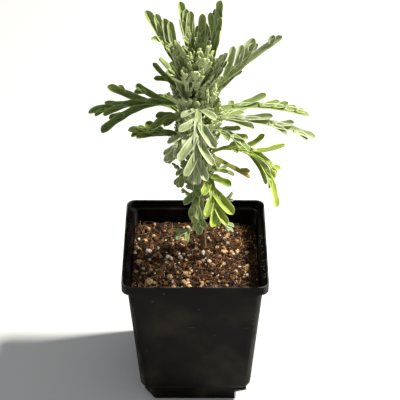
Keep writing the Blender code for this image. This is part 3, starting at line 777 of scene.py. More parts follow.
LEAF_FINISHES = {
    finish.kind: finish
    for finish in (
        LeafFinish(
            LeafKind.MATURE, (0.150, 0.225, 0.035), (0.38, 0.44, 0.20),
            (0.54, 0.60, 0.32), (0.24, 0.32, 0.06), 0.35,
        ),
        # Painted shade: darker than the mature colours.
        LeafFinish(
            LeafKind.SHADED, (0.085, 0.150, 0.010), (0.25, 0.33, 0.09),
            (0.32, 0.40, 0.12), (0.17, 0.24, 0.02), 0.25,
        ),
        LeafFinish(
            LeafKind.SILVER, (0.225, 0.290, 0.095), (0.47, 0.51, 0.31),
            (0.64, 0.68, 0.46), (0.40, 0.46, 0.23), 0.5,
        ),
        # Painted sunlight: lighter and yellower than the mature colours.
        LeafFinish(
            LeafKind.PAINTED_SUNLIGHT, (0.210, 0.310, 0.018), (0.36, 0.45, 0.10),
            (0.52, 0.60, 0.16), (0.42, 0.50, 0.06), 0.25,
        ),
        LeafFinish(
            LeafKind.YELLOWING, (0.220, 0.280, 0.03), (0.46, 0.46, 0.13),
            (0.60, 0.53, 0.18), (0.72, 0.56, 0.16), 0.25,
        ),
        LeafFinish(
            LeafKind.BASAL, (0.200, 0.265, 0.075), (0.40, 0.45, 0.24),
            (0.52, 0.56, 0.34), (0.30, 0.36, 0.13), 0.45,
        ),
        LeafFinish(
            LeafKind.YOUNG, (0.190, 0.265, 0.050), (0.43, 0.48, 0.23),
            (0.60, 0.65, 0.37), (0.34, 0.42, 0.11), 0.45,
        ),
    )
}


@dataclass(frozen=True)
class GroundFinish:
    """A rough, crumbly finish: soil, bark, pumice or perlite.

    Attributes:
        name: The material's name.
        dark: The darkest colour: dark pieces and blotches, and the painted shade in small hollows.
        light: The colour of most of it.
        odd: The colour of the few odd pieces.
        scale: How fine its grain is, per metre.
        depth: How deep its grain is, in metres.
    """

    name: str
    dark: Colour
    light: Colour
    odd: Colour
    scale: float
    depth: float

    @cache
    def material(self) -> bpy.types.Material:
        """The finish as a material that reads the mark tint, made once.

        Returns:
            The material.
        """
        made, sheet, shader, spot = new_material(self.name)
        tint = sheet.node("ShaderNodeAttribute", attribute_name="tint").outputs["Fac"]
        grain = sheet.effect(Effect.MOTTLE, spot, self.scale)
        # Small hollows in the grain: darkened below as painted shade, and sunk by the bump.
        shaded_hollows = sheet.effect(Effect.SPECKLE, spot, self.scale * 2.2, 0.5)
        body = sheet.mix(tint, self.dark, self.light)
        body = sheet.mix(sheet.step(tint, 0.86, 0.94), body, self.odd)
        body = sheet.mix(sheet.math("MULTIPLY", grain, 0.45), body, self.dark)
        body = sheet.mix(sheet.math("MULTIPLY", shaded_hollows, 0.5), body, self.dark)
        sheet.feed(shader.inputs["Base Color"], body)
        sheet.feed(shader.inputs["Roughness"], sheet.step(grain, -4.0, 1.3))
        shader.inputs["Specular IOR Level"].default_value = 0.25
        roughen(sheet, shader, sheet.math("SUBTRACT", grain, shaded_hollows), 0.8, self.depth)
        return made


@dataclass(frozen=True)
class PlasticFinish:
    """Black moulded plastic, scuffed and dusty, with a painted highlight on its lip and corners.

    Attributes:
        name: The material's name.
        body: The plastic's colour.
        pale_scuff_and_highlight: The colour of scratches, and the painted highlight of lip and corners.
        dust: The colour of the soil dust on it.
        lip_z: The height above which the lip gets the painted highlight, in metres.
        patches: How fine the patches in the lip and corner highlight and in the roughness are, per metre.
        scratches: How fine the scratches are, per metre.
        specks: How fine the specks of dust are, per metre.
        film: How wide the clouds of dust are, as waves per metre.
    """

    name: str
    body: Colour
    pale_scuff_and_highlight: Colour
    dust: Colour
    lip_z: float
    patches: float = 95.0
    scratches: float = 900.0
    specks: float = 420.0
    film: float = 28.0

    def material(self) -> bpy.types.Material:
        """The finish as a material that works from the place on the pot.

        Corners are where |x| and |y| are nearly equal, and the lip is what stands above lip_z. Both get
        a painted highlight, with some scuffing.

        Returns:
            The material.
        """
        made, sheet, shader, spot = new_material(self.name)
        axes = sheet.node("ShaderNodeSeparateXYZ", {0: spot}).outputs
        wide, deep = (sheet.size(axis) for axis in axes[:2])
        apart = sheet.size(sheet.node("ShaderNodeMath", {0: wide, 1: deep}, operation="SUBTRACT").outputs[0])
        # Painted highlight, with some scuffing: the corners and the lip get the pale colour in patches.
        corner = sheet.math("MULTIPLY", sheet.step(apart, 0.0036, 0.0008), 0.4)
        lip = sheet.step(axes[2], self.lip_z - 0.0004, self.lip_z)
        patchy = sheet.effect(Effect.MOTTLE, spot, self.patches)
        scratch = sheet.effect(Effect.SCRATCHES, spot, self.scratches)
        specks = sheet.effect(Effect.SPECKLE, spot, self.specks, 0.012)
        edge = sheet.math("MAXIMUM", lip, corner)
        scuffs_and_highlight = sheet.math("MAXIMUM", sheet.math("MULTIPLY", edge, patchy), scratch)
        film = sheet.noise(spot, self.film, 5.0)
        dusty = sheet.math("MULTIPLY", sheet.step(film, 0.46, 0.76), 0.42)
        dusty = sheet.math("MAXIMUM", dusty, sheet.math("MULTIPLY", specks, 0.8))
        # The pale colour here is the scratches and the painted highlight on the lip and corners.
        colour = sheet.mix(scuffs_and_highlight, self.body, self.pale_scuff_and_highlight)
        colour = sheet.mix(dusty, colour, self.dust)
        sheet.feed(shader.inputs["Base Color"], colour)
        rough = sheet.math("ADD", sheet.math("MULTIPLY", patchy, 0.12), sheet.math("MULTIPLY", dusty, 0.8))
        sheet.feed(shader.inputs["Roughness"], sheet.math("ADD", rough, 0.36))
        shader.inputs["Specular IOR Level"].default_value = 0.07
        fine = sheet.noise(spot, 1400.0, 2.0)
        roughen(sheet, shader, sheet.math("ADD", sheet.math("MULTIPLY", fine, 0.35), scratch), 0.35, 0.00006)
        return made


@dataclass(frozen=True)
class BarkFinish:
    """A young woody stem: brown, cracked lengthwise, green towards its tip.

    Attributes:
        name: The material's name.
        bark: The bark's colour.
        crack: The colour in its cracks.
        green: The colour of the young top.
        low_z: Where the green begins, in metres.
        high_z: Where it is all green, in metres.
    """

    name: str
    bark: Colour
    crack: Colour
    green: Colour
    low_z: float
    high_z: float

    def material(self) -> bpy.types.Material:
        """The finish as a material that works from the place on the stem.

        The cracks are the pattern of down drawn out along the stem.

        Returns:
            The material.
        """
        made, sheet, shader, spot = new_material(self.name)
        height = sheet.node("ShaderNodeSeparateXYZ", {0: spot}).outputs[2]
        long_grain = sheet.node("ShaderNodeMapping", {"Vector": spot, "Scale": (1.0, 1.0, 0.16)}).outputs[0]
        cracks = sheet.effect(Effect.DOWN, long_grain, 1500.0)
        mottle = sheet.effect(Effect.MOTTLE, spot, 420.0, 0.6)
        body = sheet.mix(mottle, self.bark, tuple(c * 0.55 for c in self.bark))
        body = sheet.mix(sheet.step(height, self.low_z, self.high_z), body, self.green)
        body = sheet.mix(sheet.math("MULTIPLY", cracks, 0.7), body, self.crack)
        sheet.feed(shader.inputs["Base Color"], body)
        sheet.feed(shader.inputs["Roughness"], sheet.step(mottle, -3.0, 1.2))
        roughen(sheet, shader, cracks, 0.9, 0.0002)
        return made


# Leaves


@dataclass(frozen=True)
class Line:
    """A blade's middle line.

    Attributes:
        points: The points along it.
        frames: For each point, rows of its direction, its left side and its upper side.
    """

    points: Array
    frames: Array


def sampled(rows: Array, places: Array) -> Array:
    """Rows of numbers read at places between their indices.

    Args:
        rows: One row per point of a line.
        places: Indices, whole or not.

    Returns:
        A row for each place.
    """
    index = np.arange(len(rows))
    return np.stack([np.interp(places, index, rows[:, axis]) for axis in range(3)], -1)


def run(
    start: Array, turned: Array, length: float, turns: Sequence[tuple[float, float, float]], count: int
) -> Line:
    """A line that turns as it goes.

    At a share s of its length, an angle is first + (last - first) * s^power, for the yaw, the
    pitch and the roll, and the line adds up the directions that they give.

    Args:
        start: Where it starts.
        turned: The frame that the angles are measured in.
        length: Its length.
        turns: The yaw, the pitch and the roll, each as (first, last, power) in degrees.
        count: How many points it has.

    Returns:
        The line.
    """
    share = np.linspace(0, 1, count)
    y, p, r = (np.radians(first + (last - first) * share**power) for first, last, power in turns)
    ahead = np.stack([np.cos(p) * np.cos(y), np.cos(p) * np.sin(y), np.sin(p)], 1)
    level = np.stack([-np.sin(y), np.cos(y), np.zeros(count)], 1)
    above = np.stack([-np.sin(p) * np.cos(y), -np.sin(p) * np.sin(y), np.cos(p)], 1)
    side = np.cos(r)[:, None] * level + np.sin(r)[:, None] * above
    above = np.cos(r)[:, None] * above - np.sin(r)[:, None] * level
    frames = np.stack([ahead, side, above], 1) @ turned
    steps = (frames[1:, 0] + frames[:-1, 0]) / 2 * length / (count - 1)
    return Line(start + np.concatenate([np.zeros((1, 3)), np.cumsum(steps, 0)]), frames)


@dataclass(frozen=True)
class Blade:
    """One channelled blade of a leaf, along its own line.

    Attributes:
        line: Its middle line.
        length: Its length.
        width: Its full width.
        thickness: Its thickness.
        tint: A number from 0 to 1 that sets its colour apart.
        fold: How far its margins rise, as a share of its half width.
        wave: The length of one wave of its margins.
        tip: The length of its round tip, as a share of its width.
        longest_tip: The most that the tip takes of its length.
        margin_at: Where its raised margins are, in half widths.
    """

    line: Line
    length: float
    width: float
    thickness: float
    tint: float
    fold: float = 0.72
    wave: float = 0.011
    tip: float = 0.62
    longest_tip: float = 0.45
    margin_at: float = 0.86

    def half_widths(self, share: Array) -> Array:
        """Half the width: narrow at the foot, fullest late and round at the tip.

        It is half the width, times a foot that opens evenly, times a belly of one slow wave, times
        the root of 1 - d^2 over the round part.

        Args:
            share: Shares of the length.

        Returns:
            Half the width at each.
        """
        foot = np.minimum(1, FOOT_SHARE + FOOT_WIDENING * share)
        round_part = min(self.longest_tip, self.tip * self.width / self.length)
        into_tip = np.clip((share - 1 + round_part) / round_part, 0, 1)
        belly = 0.94 + 0.08 * np.sin(np.pi * np.clip(share, 0, 1) ** 2.2)
        return self.width / 2 * foot * belly * np.sqrt(np.clip(1 - into_tip**2, 0.04, 1))

    def lift(self, x: Array, share: Array) -> Array:
        """How far the surface stands over the middle line.

        It is half * (fold * (|x|^1.5 - 0.3) + 0.13 x^2 sin(beat)), flat at the foot, so that the
        blade is a channel whose margins wave, each to its own beat.

        Args:
            x: Distances to the side, in half widths.
            share: Shares of the length.

        Returns:
            Heights in metres.
        """
        beat = 2 * np.pi * (self.length / self.wave * share + self.tint) + 1.9 * np.sign(x)
        opening = self.fold * np.clip(3 * share - 0.1, 0, 1)
        return self.half_widths(share) * (opening * (np.abs(x) ** 1.5 - 0.3) + 0.13 * x**2 * np.sin(beat))

    def at(self, x: Array, share: Array) -> Array:
        """Points of the blade's middle surface.

        Args:
            x: Distances to the side, in half widths.
            share: Shares of the length.

        Returns:
            A point for each.
        """
        places = share * (len(self.line.points) - 1)
        lines = self.line.points, self.line.frames[:, 1], self.line.frames[:, 2]
        points, sides, ups = (sampled(rows, places) for rows in lines)
        across = (self.half_widths(share) * x)[..., None]
        return points + sides * across + ups * self.lift(x, share)[..., None]

    def rings(self, rows: int, around: int) -> tuple[Array, Array]:
        """The blade's surface and its marks.

        Around the ring at angle q, with x = cos q, a point stands on the middle surface at x, plus
        half the thickness times sin q, more near margin_at for the margins and, on the lower side,
        near x = 0 for the rib. The rings crowd towards the tip.

        Args:
            rows: How many rings there are.
            around: How many points a ring has.

        Returns:
            Points, and for each the distance across in half widths, the share along and 1 on the
            upper side, both with the shape (rows, around, 3).
        """
        q = np.linspace(0, 2 * np.pi, around, endpoint=False)
        share = 1 - (1 - np.linspace(0, 1, rows)[:, None]) ** 1.7
        x, u, share = np.broadcast_arrays(np.cos(q), np.sin(q), share)
        margin = 0.5 * np.clip(4 * share, 0, 1) * np.exp(-(((np.abs(x) - self.margin_at) / 0.16) ** 2))
        rib = np.where(u < 0, 0.9 * np.exp(-((x / 0.22) ** 2)) * (1.15 - share), 0.0)
        thick = self.thickness / 2 * u * (0.92 - 0.25 * x**2 + margin + rib)
        ups = sampled(self.line.frames[:, 2], share[:, :1] * (len(self.line.points) - 1))
        points = self.at(x, share) + ups * thick[..., None]
        return points, np.stack([np.abs(x), share, (u > -0.05).astype(float)], -1)


@dataclass(frozen=True)
class Web:
    """The lamina in the fork between a parent's margin and a lobe's margin.

    Attributes:
        parent: Points along the parent's margin, from the fork outwards.
        lobe: Points along the lobe's margin, from the fork outwards.
        up: The upper side at the fork.
        thickness: The web's thickness.
        tint: A number from 0 to 1 that sets its colour apart.
    """

    parent: Array
    lobe: Array
    up: Array
    thickness: float
    tint: float

    def rings(self, rows: int = 6) -> tuple[Array, Array]:
        """The web's surface and its marks.

        It is ruled: W(a, b) = (1 - b) * parent(a') + b * lobe(a'), where a' = a * (1 - 0.45 sin
        (pi b)), so that its free edge is hollow. The ring for each b goes out on the upper side
        and back on the lower.

        Args:
            rows: How many rings there are.

        Returns:
            Points and marks, as for a blade.
        """
        count = len(self.parent)
        b = np.linspace(0, 1, rows)[:, None]
        reach = np.linspace(0.02, 1, count)[None] * (1 - 0.45 * np.sin(np.pi * b)) * (count - 1)
        parent, lobe = (sampled(edge, reach) for edge in (self.parent, self.lobe))
        middle = (1 - b[..., None]) * parent + b[..., None] * lobe
        up = self.up * self.thickness / 2
        points = np.concatenate([middle + up, (middle - up)[:, ::-1]], 1)
        across = np.concatenate([np.linspace(0.5, 0.95, count), np.linspace(0.95, 0.5, count)])
        above = np.repeat([1.0, 0.0], count)
        marks = np.stack(np.broadcast_arrays(across, 0.3, above + 0 * b), -1)
        return points, marks


@dataclass(frozen=True)
class Skin:
    """A leaf's surface with its marks.

    Attributes:
        shell: The surface.
        marks: For each point, the distance across, the share along and 1 on the upper side.
        tints: For each point, its blade's tint.
    """

    shell: Shell
    marks: Array
    tints: Array

    @classmethod
    def of(cls, rings: Sequence[tuple[Array, Array]], tints: Sequence[float]) -> "Skin":
        """The skin of tubes with equal counts.

        Args:
            rings: Each tube's points and marks.
            tints: Each tube's tint.

        Returns:
            One skin.
        """
        points, marks = (np.stack(values) for values in zip(*rings))
        marks = with_middles(marks)
        return cls(tubes(points), marks.reshape(-1, 3), np.repeat(tints, marks.shape[1]))

    @classmethod
    def joined(cls, skins: Sequence["Skin"]) -> "Skin":
        """Several skins as one.

        Args:
            skins: The skins, which keep their order.

        Returns:
            One skin.
        """
        return cls(
            joined([skin.shell for skin in skins]),
            np.concatenate([skin.marks for skin in skins]),
            np.concatenate([skin.tints for skin in skins]),
        )

    def mesh(self, name: str) -> bpy.types.Mesh:
        """The skin as a mesh that carries the marks blade and tint.

        Args:
            name: The mesh's name.

        Returns:
            The mesh.
        """
        made = mesh_of(name, self.shell)
        mark(made, "blade", self.marks)
        mark(made, "tint", self.tints)
        return made


@dataclass
class Lamina:
    """One leaf, as the blades and webs that it is made of.

    Attributes:
        row: The leaf's row, in the terms of the table of leaves.
        draw: The source of its small differences.
        base: Where it stands, if that isn't on the main stem.
        plump: How much wider its blades are than their solids.
        thickness: The midrib blade's thickness.
        stations: How many points its lines have.
        webbed: Whether its forks are filled.
        forks: For the fork ahead of a lobe and the one behind it, 1 or -1 and how far its web runs
            along the parent and along the lobe, as shares of the lobe's length.
        thinning: How thick a lobe is, as a share of its parent's thickness.
        web_thinning: How thick a web is, as a share of the parent's thickness.
        web_edge: Where a web leaves a blade, in half widths.
        web_points: How many points a web's edge has.
        blades: Its blades, once it is grown.
        webs: Its webs, once it is grown.
    """

    row: tuple
    draw: np.random.Generator
    base: Array | None = None
    plump: float = 1.12
    thickness: float = 0.0009
    stations: int = 25
    webbed: bool = True
    forks: tuple[tuple[int, float, float], ...] = ((1, 0.34, 0.42), (-1, 0.22, 0.26))
    thinning: float = 0.9
    web_thinning: float = 0.8
    web_edge: float = 0.78
    web_points: int = 7
    blades: list[Blade] = field(default_factory=list)
    webs: list[Web] = field(default_factory=list)

    def grow(self) -> None:
        """Works out the blades and webs, from the midrib outwards."""
        share, heading, rise, droop, swing, roll, end_roll, length, width, lobes = self.row
        turn = math.radians(heading)
        out = np.array([math.cos(turn), math.sin(turn), 0.0])
        turned = np.array([out, [-out[1], out[0], 0.0], [0.0, 0.0, 1.0]])
        turns = ((0, swing, 1.0), (rise, rise - droop, DROOP_POWER), (roll, end_roll, 1.0))
        line = run(np.zeros(3), turned, length * MM, turns, self.stations)
        reach = abs(line.frames[0, 1] @ out) * width * MM * FOOT_SHARE / 2
        reach += abs(line.frames[0, 2] @ out) * self.thickness / 2
        base = stem_point(share) + out * (stem_radius(share) + FIT_GAP + reach)
        points = line.points + (base if self.base is None else self.base)
        points[0] -= line.frames[0, 0] * (FIT_GAP + reach + stem_radius(share) * 0.5)
        wide = width * MM * self.plump
        midrib = Blade(Line(points, line.frames), length * MM, wide, self.thickness, self.draw.uniform())
        self.blades.append(midrib)
        self.add_lobes(midrib, lobes)

    def add_lobes(self, parent: Blade, lobes: tuple) -> None:
        """Adds the lobes on one blade, their webs and their forks.

        Args:
            parent: The blade that they grow from.
            lobes: Their rows.
        """
        for lobe in lobes:
            share, length, spread, lift, width = lobe[:5]
            station = share * (self.stations - 1)
            low = min(int(station), self.stations - 2)
            part = station - low
            start, turned = (
                values[low] * (1 - part) + values[low + 1] * part
                for values in (parent.line.points, parent.line.frames)
            )
            turned = turned / np.linalg.norm(turned, axis=1, keepdims=True)
            side = math.copysign(1, length)
            turns = (
                (side * LOBE_START_ANGLE, side * (spread + self.draw.uniform(-5, 5)), LOBE_BEND_POWER),
                (0, lift + self.draw.uniform(-12, 12), 1.0),
                (0, side * self.draw.uniform(-14, 26), 1.0),
            )
            long, wide = abs(length) * MM, width * MM * self.plump
            line = run(start, turned, long, turns, self.stations)
            blade = Blade(line, long, wide, parent.thickness * self.thinning, self.draw.uniform())
            self.blades.append(blade)
            if self.webbed:
                self.add_webs(parent, blade, share, side)
            self.add_lobes(blade, lobe[5] if len(lobe) > 5 else ())

    def add_webs(self, parent: Blade, blade: Blade, share: float, side: float) -> None:
        """Fills the forks before and behind a lobe.

        Args:
            parent: The blade that the lobe grows from.
            blade: The lobe.
            share: Where on the parent it starts.
            side: 1 on the parent's left and -1 on its right.
        """
        edge = np.full(self.web_points, self.web_edge * side)
        for ahead, along_parent, along_lobe in self.forks:
            stop = np.clip(share + ahead * along_parent * blade.length / parent.length, 0.0, 0.97)
            edges = (
                parent.at(edge, np.linspace(share, stop, self.web_points)),
                blade.at(-edge * ahead, np.linspace(0, along_lobe, self.web_points)),
            )
            up = blade.line.frames[0, 2]
            if np.cross(edges[1][-1] - edges[1][0], edges[0][-1] - edges[0][0]) @ up > 0:
                edges = edges[::-1]
            self.webs.append(Web(*edges, up, parent.thickness * self.web_thinning, blade.tint))

    def skin(self, rows: int, around: int) -> Skin:
        """The leaf's surface, of a blade or a web to each closed shell.

        Args:
            rows: How many rings a blade has.
            around: How many points a ring has.

        Returns:
            The leaf's skin.
        """
        made = [blade.rings(rows, around) for blade in self.blades]
        parts = [Skin.of(made, [blade.tint for blade in self.blades])]
        if self.webs:
            parts.append(Skin.of([web.rings() for web in self.webs], [web.tint for web in self.webs]))
        return Skin.joined(parts)


def stem_point(share: float | Array) -> Array:
    """The middle of the stem.

    Args:
        share: Shares of its height above the soil.

    Returns:
        A point for each.
    """
    x = np.interp(share, STEM_LINE[:, 0], STEM_LINE[:, 1]) * MM
    y = np.interp(share, STEM_LINE[:, 0], STEM_LINE[:, 2]) * MM
    return np.stack(np.broadcast_arrays(x, y, SOIL_TOP + np.asarray(share) * STEM_HEIGHT), -1)


def stem_radius(share: float | Array) -> float | Array:
    """The stem's radius, widest where it leaves the soil and thinning evenly.

    Args:
        share: Shares of its height above the soil.

    Returns:
        A radius for each.
    """
    base, tip = STEM_DIAMETERS
    return (base + (tip - base) * np.clip(share, 0, 1)) / 2


@dataclass(frozen=True)
class Shoot:
    """A short side shoot in one axil, with its leaves round it.

    Attributes:
        share: Its height as a share of the main stem.
        heading: Which way it faces, in degrees.
        rise: How steeply its leaves rise, in degrees.
        length: The longest leaf's length in millimetres.
        lean: How steeply its own stem rises, in degrees.
        places: For each leaf, its place along the shoot as a share of the longest leaf, its
            heading against the shoot's, and its length as a share of the longest.
        pairs: For each pair of lobes, their place along the leaf and their length as a share of it.
    """

    share: float
    heading: float
    rise: float
    length: float
    lean: float = 40.0
    places: tuple[tuple[float, float, float], ...] = (
        (0.05, 58, 1.0), (0.05, -58, 0.96), (0.2, 6, 0.92), (0.2, 150, 0.6),
        (0.35, 84, 0.7), (0.35, -84, 0.7), (0.5, 30, 0.62), (0.5, -26, 0.56),
    )
    pairs: tuple[tuple[float, float], ...] = ((0.26, 0.42), (0.48, 0.38), (0.7, 0.25))

    def leaves(self, draw: np.random.Generator) -> list[Lamina]:
        """The shoot's leaves.

        Args:
            draw: The source of their differences.

        Returns:
            The leaves, not grown yet.
        """
        turn, lean = math.radians(self.heading), math.radians(self.lean)
        out = np.array([math.cos(turn) * math.cos(lean), math.sin(turn) * math.cos(lean), math.sin(lean)])
        leaves = []
        for place_at, sideways, size in self.places:
            base = stem_point(self.share) + out * place_at * self.length * MM + draw.normal(0, 0.0005, 3)
            length = self.length * size * draw.uniform(0.84, 1.04)
            width = 1.5 + length * 0.022
            lobes = [
                (at_share + draw.uniform(-0.04, 0.04), side * length * reach * draw.uniform(0.75, 1.1),
                 draw.uniform(26, 48), draw.uniform(-14, 16), width * draw.uniform(0.85, 1.15))
                for at_share, reach in self.pairs
                for side in (1, -1)
            ]
            row = (
                self.share, self.heading + sideways + draw.uniform(-16, 16),
                self.rise + draw.uniform(-16, 12),
                draw.uniform(-12, 18), draw.uniform(-18, 18), draw.uniform(-60, 60), draw.uniform(-80, 80),
                length, width, tuple(lobes),
            )
            leaves.append(Lamina(row, draw, base, stations=13, thickness=0.00075, webbed=False))
        return leaves


@dataclass
class Foliage:
    """Every leaf and tuft, and the young leaves in the axils.

    Attributes:
        fine: The rings of a big leaf's blade, and the points around each.
        coarse: The same for a young leaf.
        opposite: How long the second shoot of an axil is, as a share of the first.
        axils: The first of the two opposite shoots in each axil, from the lowest up.
    """

    fine: tuple[int, int] = (30, 20)
    coarse: tuple[int, int] = (15, 12)
    opposite: float = 0.75
    axils: tuple[Shoot, ...] = (
        Shoot(0.20, 40, 40, 13.0),
        Shoot(0.31, 130, 48, 18.0),
        Shoot(0.41, 200, 56, 23.0),
        Shoot(0.49, 125, 62, 26.0),
        Shoot(0.54, 210, 66, 29.0),
        Shoot(0.59, 105, 70, 30.0),
        Shoot(0.64, 190, 72, 31.0),
        Shoot(0.69, 240, 76, 31.0),
        Shoot(0.74, 165, 74, 32.0),
        Shoot(0.79, 205, 76, 32.0),
        Shoot(0.83, 140, 76, 32.0),
        Shoot(0.87, 180, 78, 32.0),
        Shoot(0.91, 235, 80, 33.0),
        Shoot(0.95, 165, 80, 33.0),
        Shoot(0.98, 90, 82, 33.0),
    )

    def build(self) -> None:
        """Makes the leaves, the tufts and the young leaves."""
        self.build_leaves()
        self.build_tufts()
        self.build_shoots()

    def build_leaves(self) -> None:
        """Makes each leaf in the place of its solid."""
        for index, (name, row) in enumerate(LEAVES.items()):
            leaf = Lamina(row, np.random.default_rng(LEAF_SEED + index))
            leaf.grow()
            mesh = leaf.skin(*self.fine).mesh(f"{name}_lamina")
            look = LEAF_FINISHES[LEAF_KINDS.get(name, LeafKind.MATURE)].material()
            place(mesh, look, (name,))

    def build_tufts(self) -> None:
        """Makes each tuft in the place of its solid."""
        for index, (name, row) in enumerate(TUFTS.items()):
            draw = np.random.default_rng(TUFT_SEED + index)
            self.place_bunch(f"{name}_leaves", [Lamina(row, draw, stations=15)], (name,))

    def build_shoots(self) -> None:
        """Makes the two opposite shoots of each axil as one piece."""
        for index, first in enumerate(self.axils):
            draw = np.random.default_rng(SHOOT_SEED + index)
            second = replace(first, heading=first.heading + 180, length=first.length * self.opposite)
            leaves = first.leaves(draw) + second.leaves(draw)
            self.place_bunch(f"young_leaves_{index + 1:02d}", leaves)

    def place_bunch(self, name: str, bunch: Sequence[Lamina], stands_for: Sequence[str] = ()) -> None:
        """Grows a bunch of young leaves and makes one piece of them.

        Args:
            name: The piece's name.
            bunch: The leaves.
            stands_for: The solid that the bunch is shown in place of.
        """
        for leaf in bunch:
            leaf.grow()
        mesh = Skin.joined([leaf.skin(*self.coarse) for leaf in bunch]).mesh(name)
        place(mesh, LEAF_FINISHES[LeafKind.YOUNG].material(), stands_for)


# Stem


@dataclass
class Stem:
    """The woody stem, from under the soil to its growing tip.

    Attributes:
        rows: How many rings it has.
        around: How many points a ring has.
        ridge: How far its bark ridges stand out.
        collar: How far it swells at a leaf's base.
        flare: How far it widens where it leaves the soil.
        low: Where it starts in the soil, as a share of its height.
        soft: Over what share of its height a swelling or its tip is rounded.
        look: Its finish.
    """

    rows: int = 360
    around: int = 36
    ridge: float = 0.00013
    collar: float = 0.0004
    flare: float = 0.0006
    low: float = -0.06
    soft: float = 0.012
    look: BarkFinish = BarkFinish(
        "stem_bark", (0.30, 0.150, 0.075), (0.085, 0.040, 0.020), (0.19, 0.25, 0.085),
        SOIL_TOP + 0.3 * STEM_HEIGHT, SOIL_TOP + 0.62 * STEM_HEIGHT,
    )

    def build(self) -> bpy.types.Object:
        """Makes the stem in the place of its solid.

        Its radius at share s and angle q is the solid's, plus ridges that wander as they climb,
        ridge * (sin(7q + 9s) + 0.6 sin(13q - 21s)), plus a swelling at each leaf.

        Returns:
            The stem's piece.
        """
        share = np.linspace(self.low, 1.0, self.rows)[:, None]
        q = np.linspace(0, 2 * np.pi, self.around, endpoint=False)[None]
        bases = np.array([row[0] for row in LEAVES.values()])
        swell = np.exp(-(((share - bases[None]) / self.soft) ** 2)).sum(1, keepdims=True)
        woody = np.clip(1.15 - share, 0.15, 1)
        waves = np.sin(7 * q + 9 * share + np.sin(31 * share)) + 0.6 * np.sin(13 * q - 21 * share)
        radius = stem_radius(share) + self.ridge * woody * waves + self.collar * np.clip(swell, 0, 1)
        radius = radius * np.sqrt(np.clip((1.0 - share) / self.soft, 0.02, 1))
        flare = self.flare * np.exp(-(((share + 0.01) / 0.02) ** 2))
        circle = np.stack([np.cos(q), np.sin(q), np.zeros_like(q)], -1)
        rings = stem_point(share[:, 0])[:, None] + circle * (radius + flare)[..., None]
        mesh = mesh_of("main_stem_bark", tubes(rings[None]))
        return place(mesh, self.look.material(), ("main_stem",))


# Soil

# The crumbs on the soil: how high they stand, how wide they are, and which field of lumps they are
CRUMBS = ((0.0011, 0.0036, 11), (0.0010, 0.0019, 5), (0.0006, 0.0010, 23))


def soil_height(x: Array, y: Array) -> Array:
    """The height of the crumbly soil's surface: rolling humps with three sizes of crumb on them.

    Args:
        x: Places along X.
        y: Places along Y.

    Returns:
        Heights above the pot's foot, in metres.
    """
    a, b = x / SOIL_HALF, y / SOIL_HALF
    rolling = 0.55 * np.sin(3.1 * a + 1.3 * b + 0.6) + 0.45 * np.sin(5.3 * b - 2.2 * a)
    level = SOIL_TOP + SOIL_RELIEF * (rolling - 0.45 * a - 0.35 * b)
    crumbs = sum(height * lumps(x, y, width, field_seed) for height, width, field_seed in CRUMBS)
    return level + 0.0001 + crumbs


STONE_SIDES = 7
STONE_LEVELS = np.array([-0.88, -0.35, 0.35, 0.88])


def chips(places: Array, sizes: Array, draw: np.random.Generator, rough: float) -> Shell:
    """Small rough stones, each a ball of few faces with its own knobs and its own turn.

    A turn is the rotation matrix of a random unit quaternion (a, b, c, d).

    Args:
        places: Their middles.
        sizes: Their half sizes along three axes.
        draw: The source of their shapes.
        rough: How far their corners stray, as a share of their radius.

    Returns:
        One shell with every stone.
    """
    count = len(places)
    z = STONE_LEVELS
    q = np.linspace(0, 2 * np.pi, STONE_SIDES, endpoint=False)
    flat = np.sqrt(1 - z**2)
    rounds = flat[:, None] * np.cos(q), flat[:, None] * np.sin(q), z[:, None]
    ball = np.stack(np.broadcast_arrays(*rounds), -1)
    knobs = draw.uniform(1 - rough, 1 + rough, (count, len(z), STONE_SIDES, 1))
    w = draw.normal(size=(count, 4))
    a, b, c, d = (w / np.linalg.norm(w, axis=1, keepdims=True)).T
    turned = np.array([
        [1 - 2 * (c * c + d * d), 2 * (b * c - a * d), 2 * (b * d + a * c)],
        [2 * (b * c + a * d), 1 - 2 * (b * b + d * d), 2 * (c * d - a * b)],
        [2 * (b * d - a * c), 2 * (c * d + a * b), 1 - 2 * (b * b + c * c)],
    ])
    rings = np.einsum("ijn,nrqj->nrqi", turned, ball[None] * knobs * sizes[:, None, None])
    return tubes(rings + places[:, None, None])


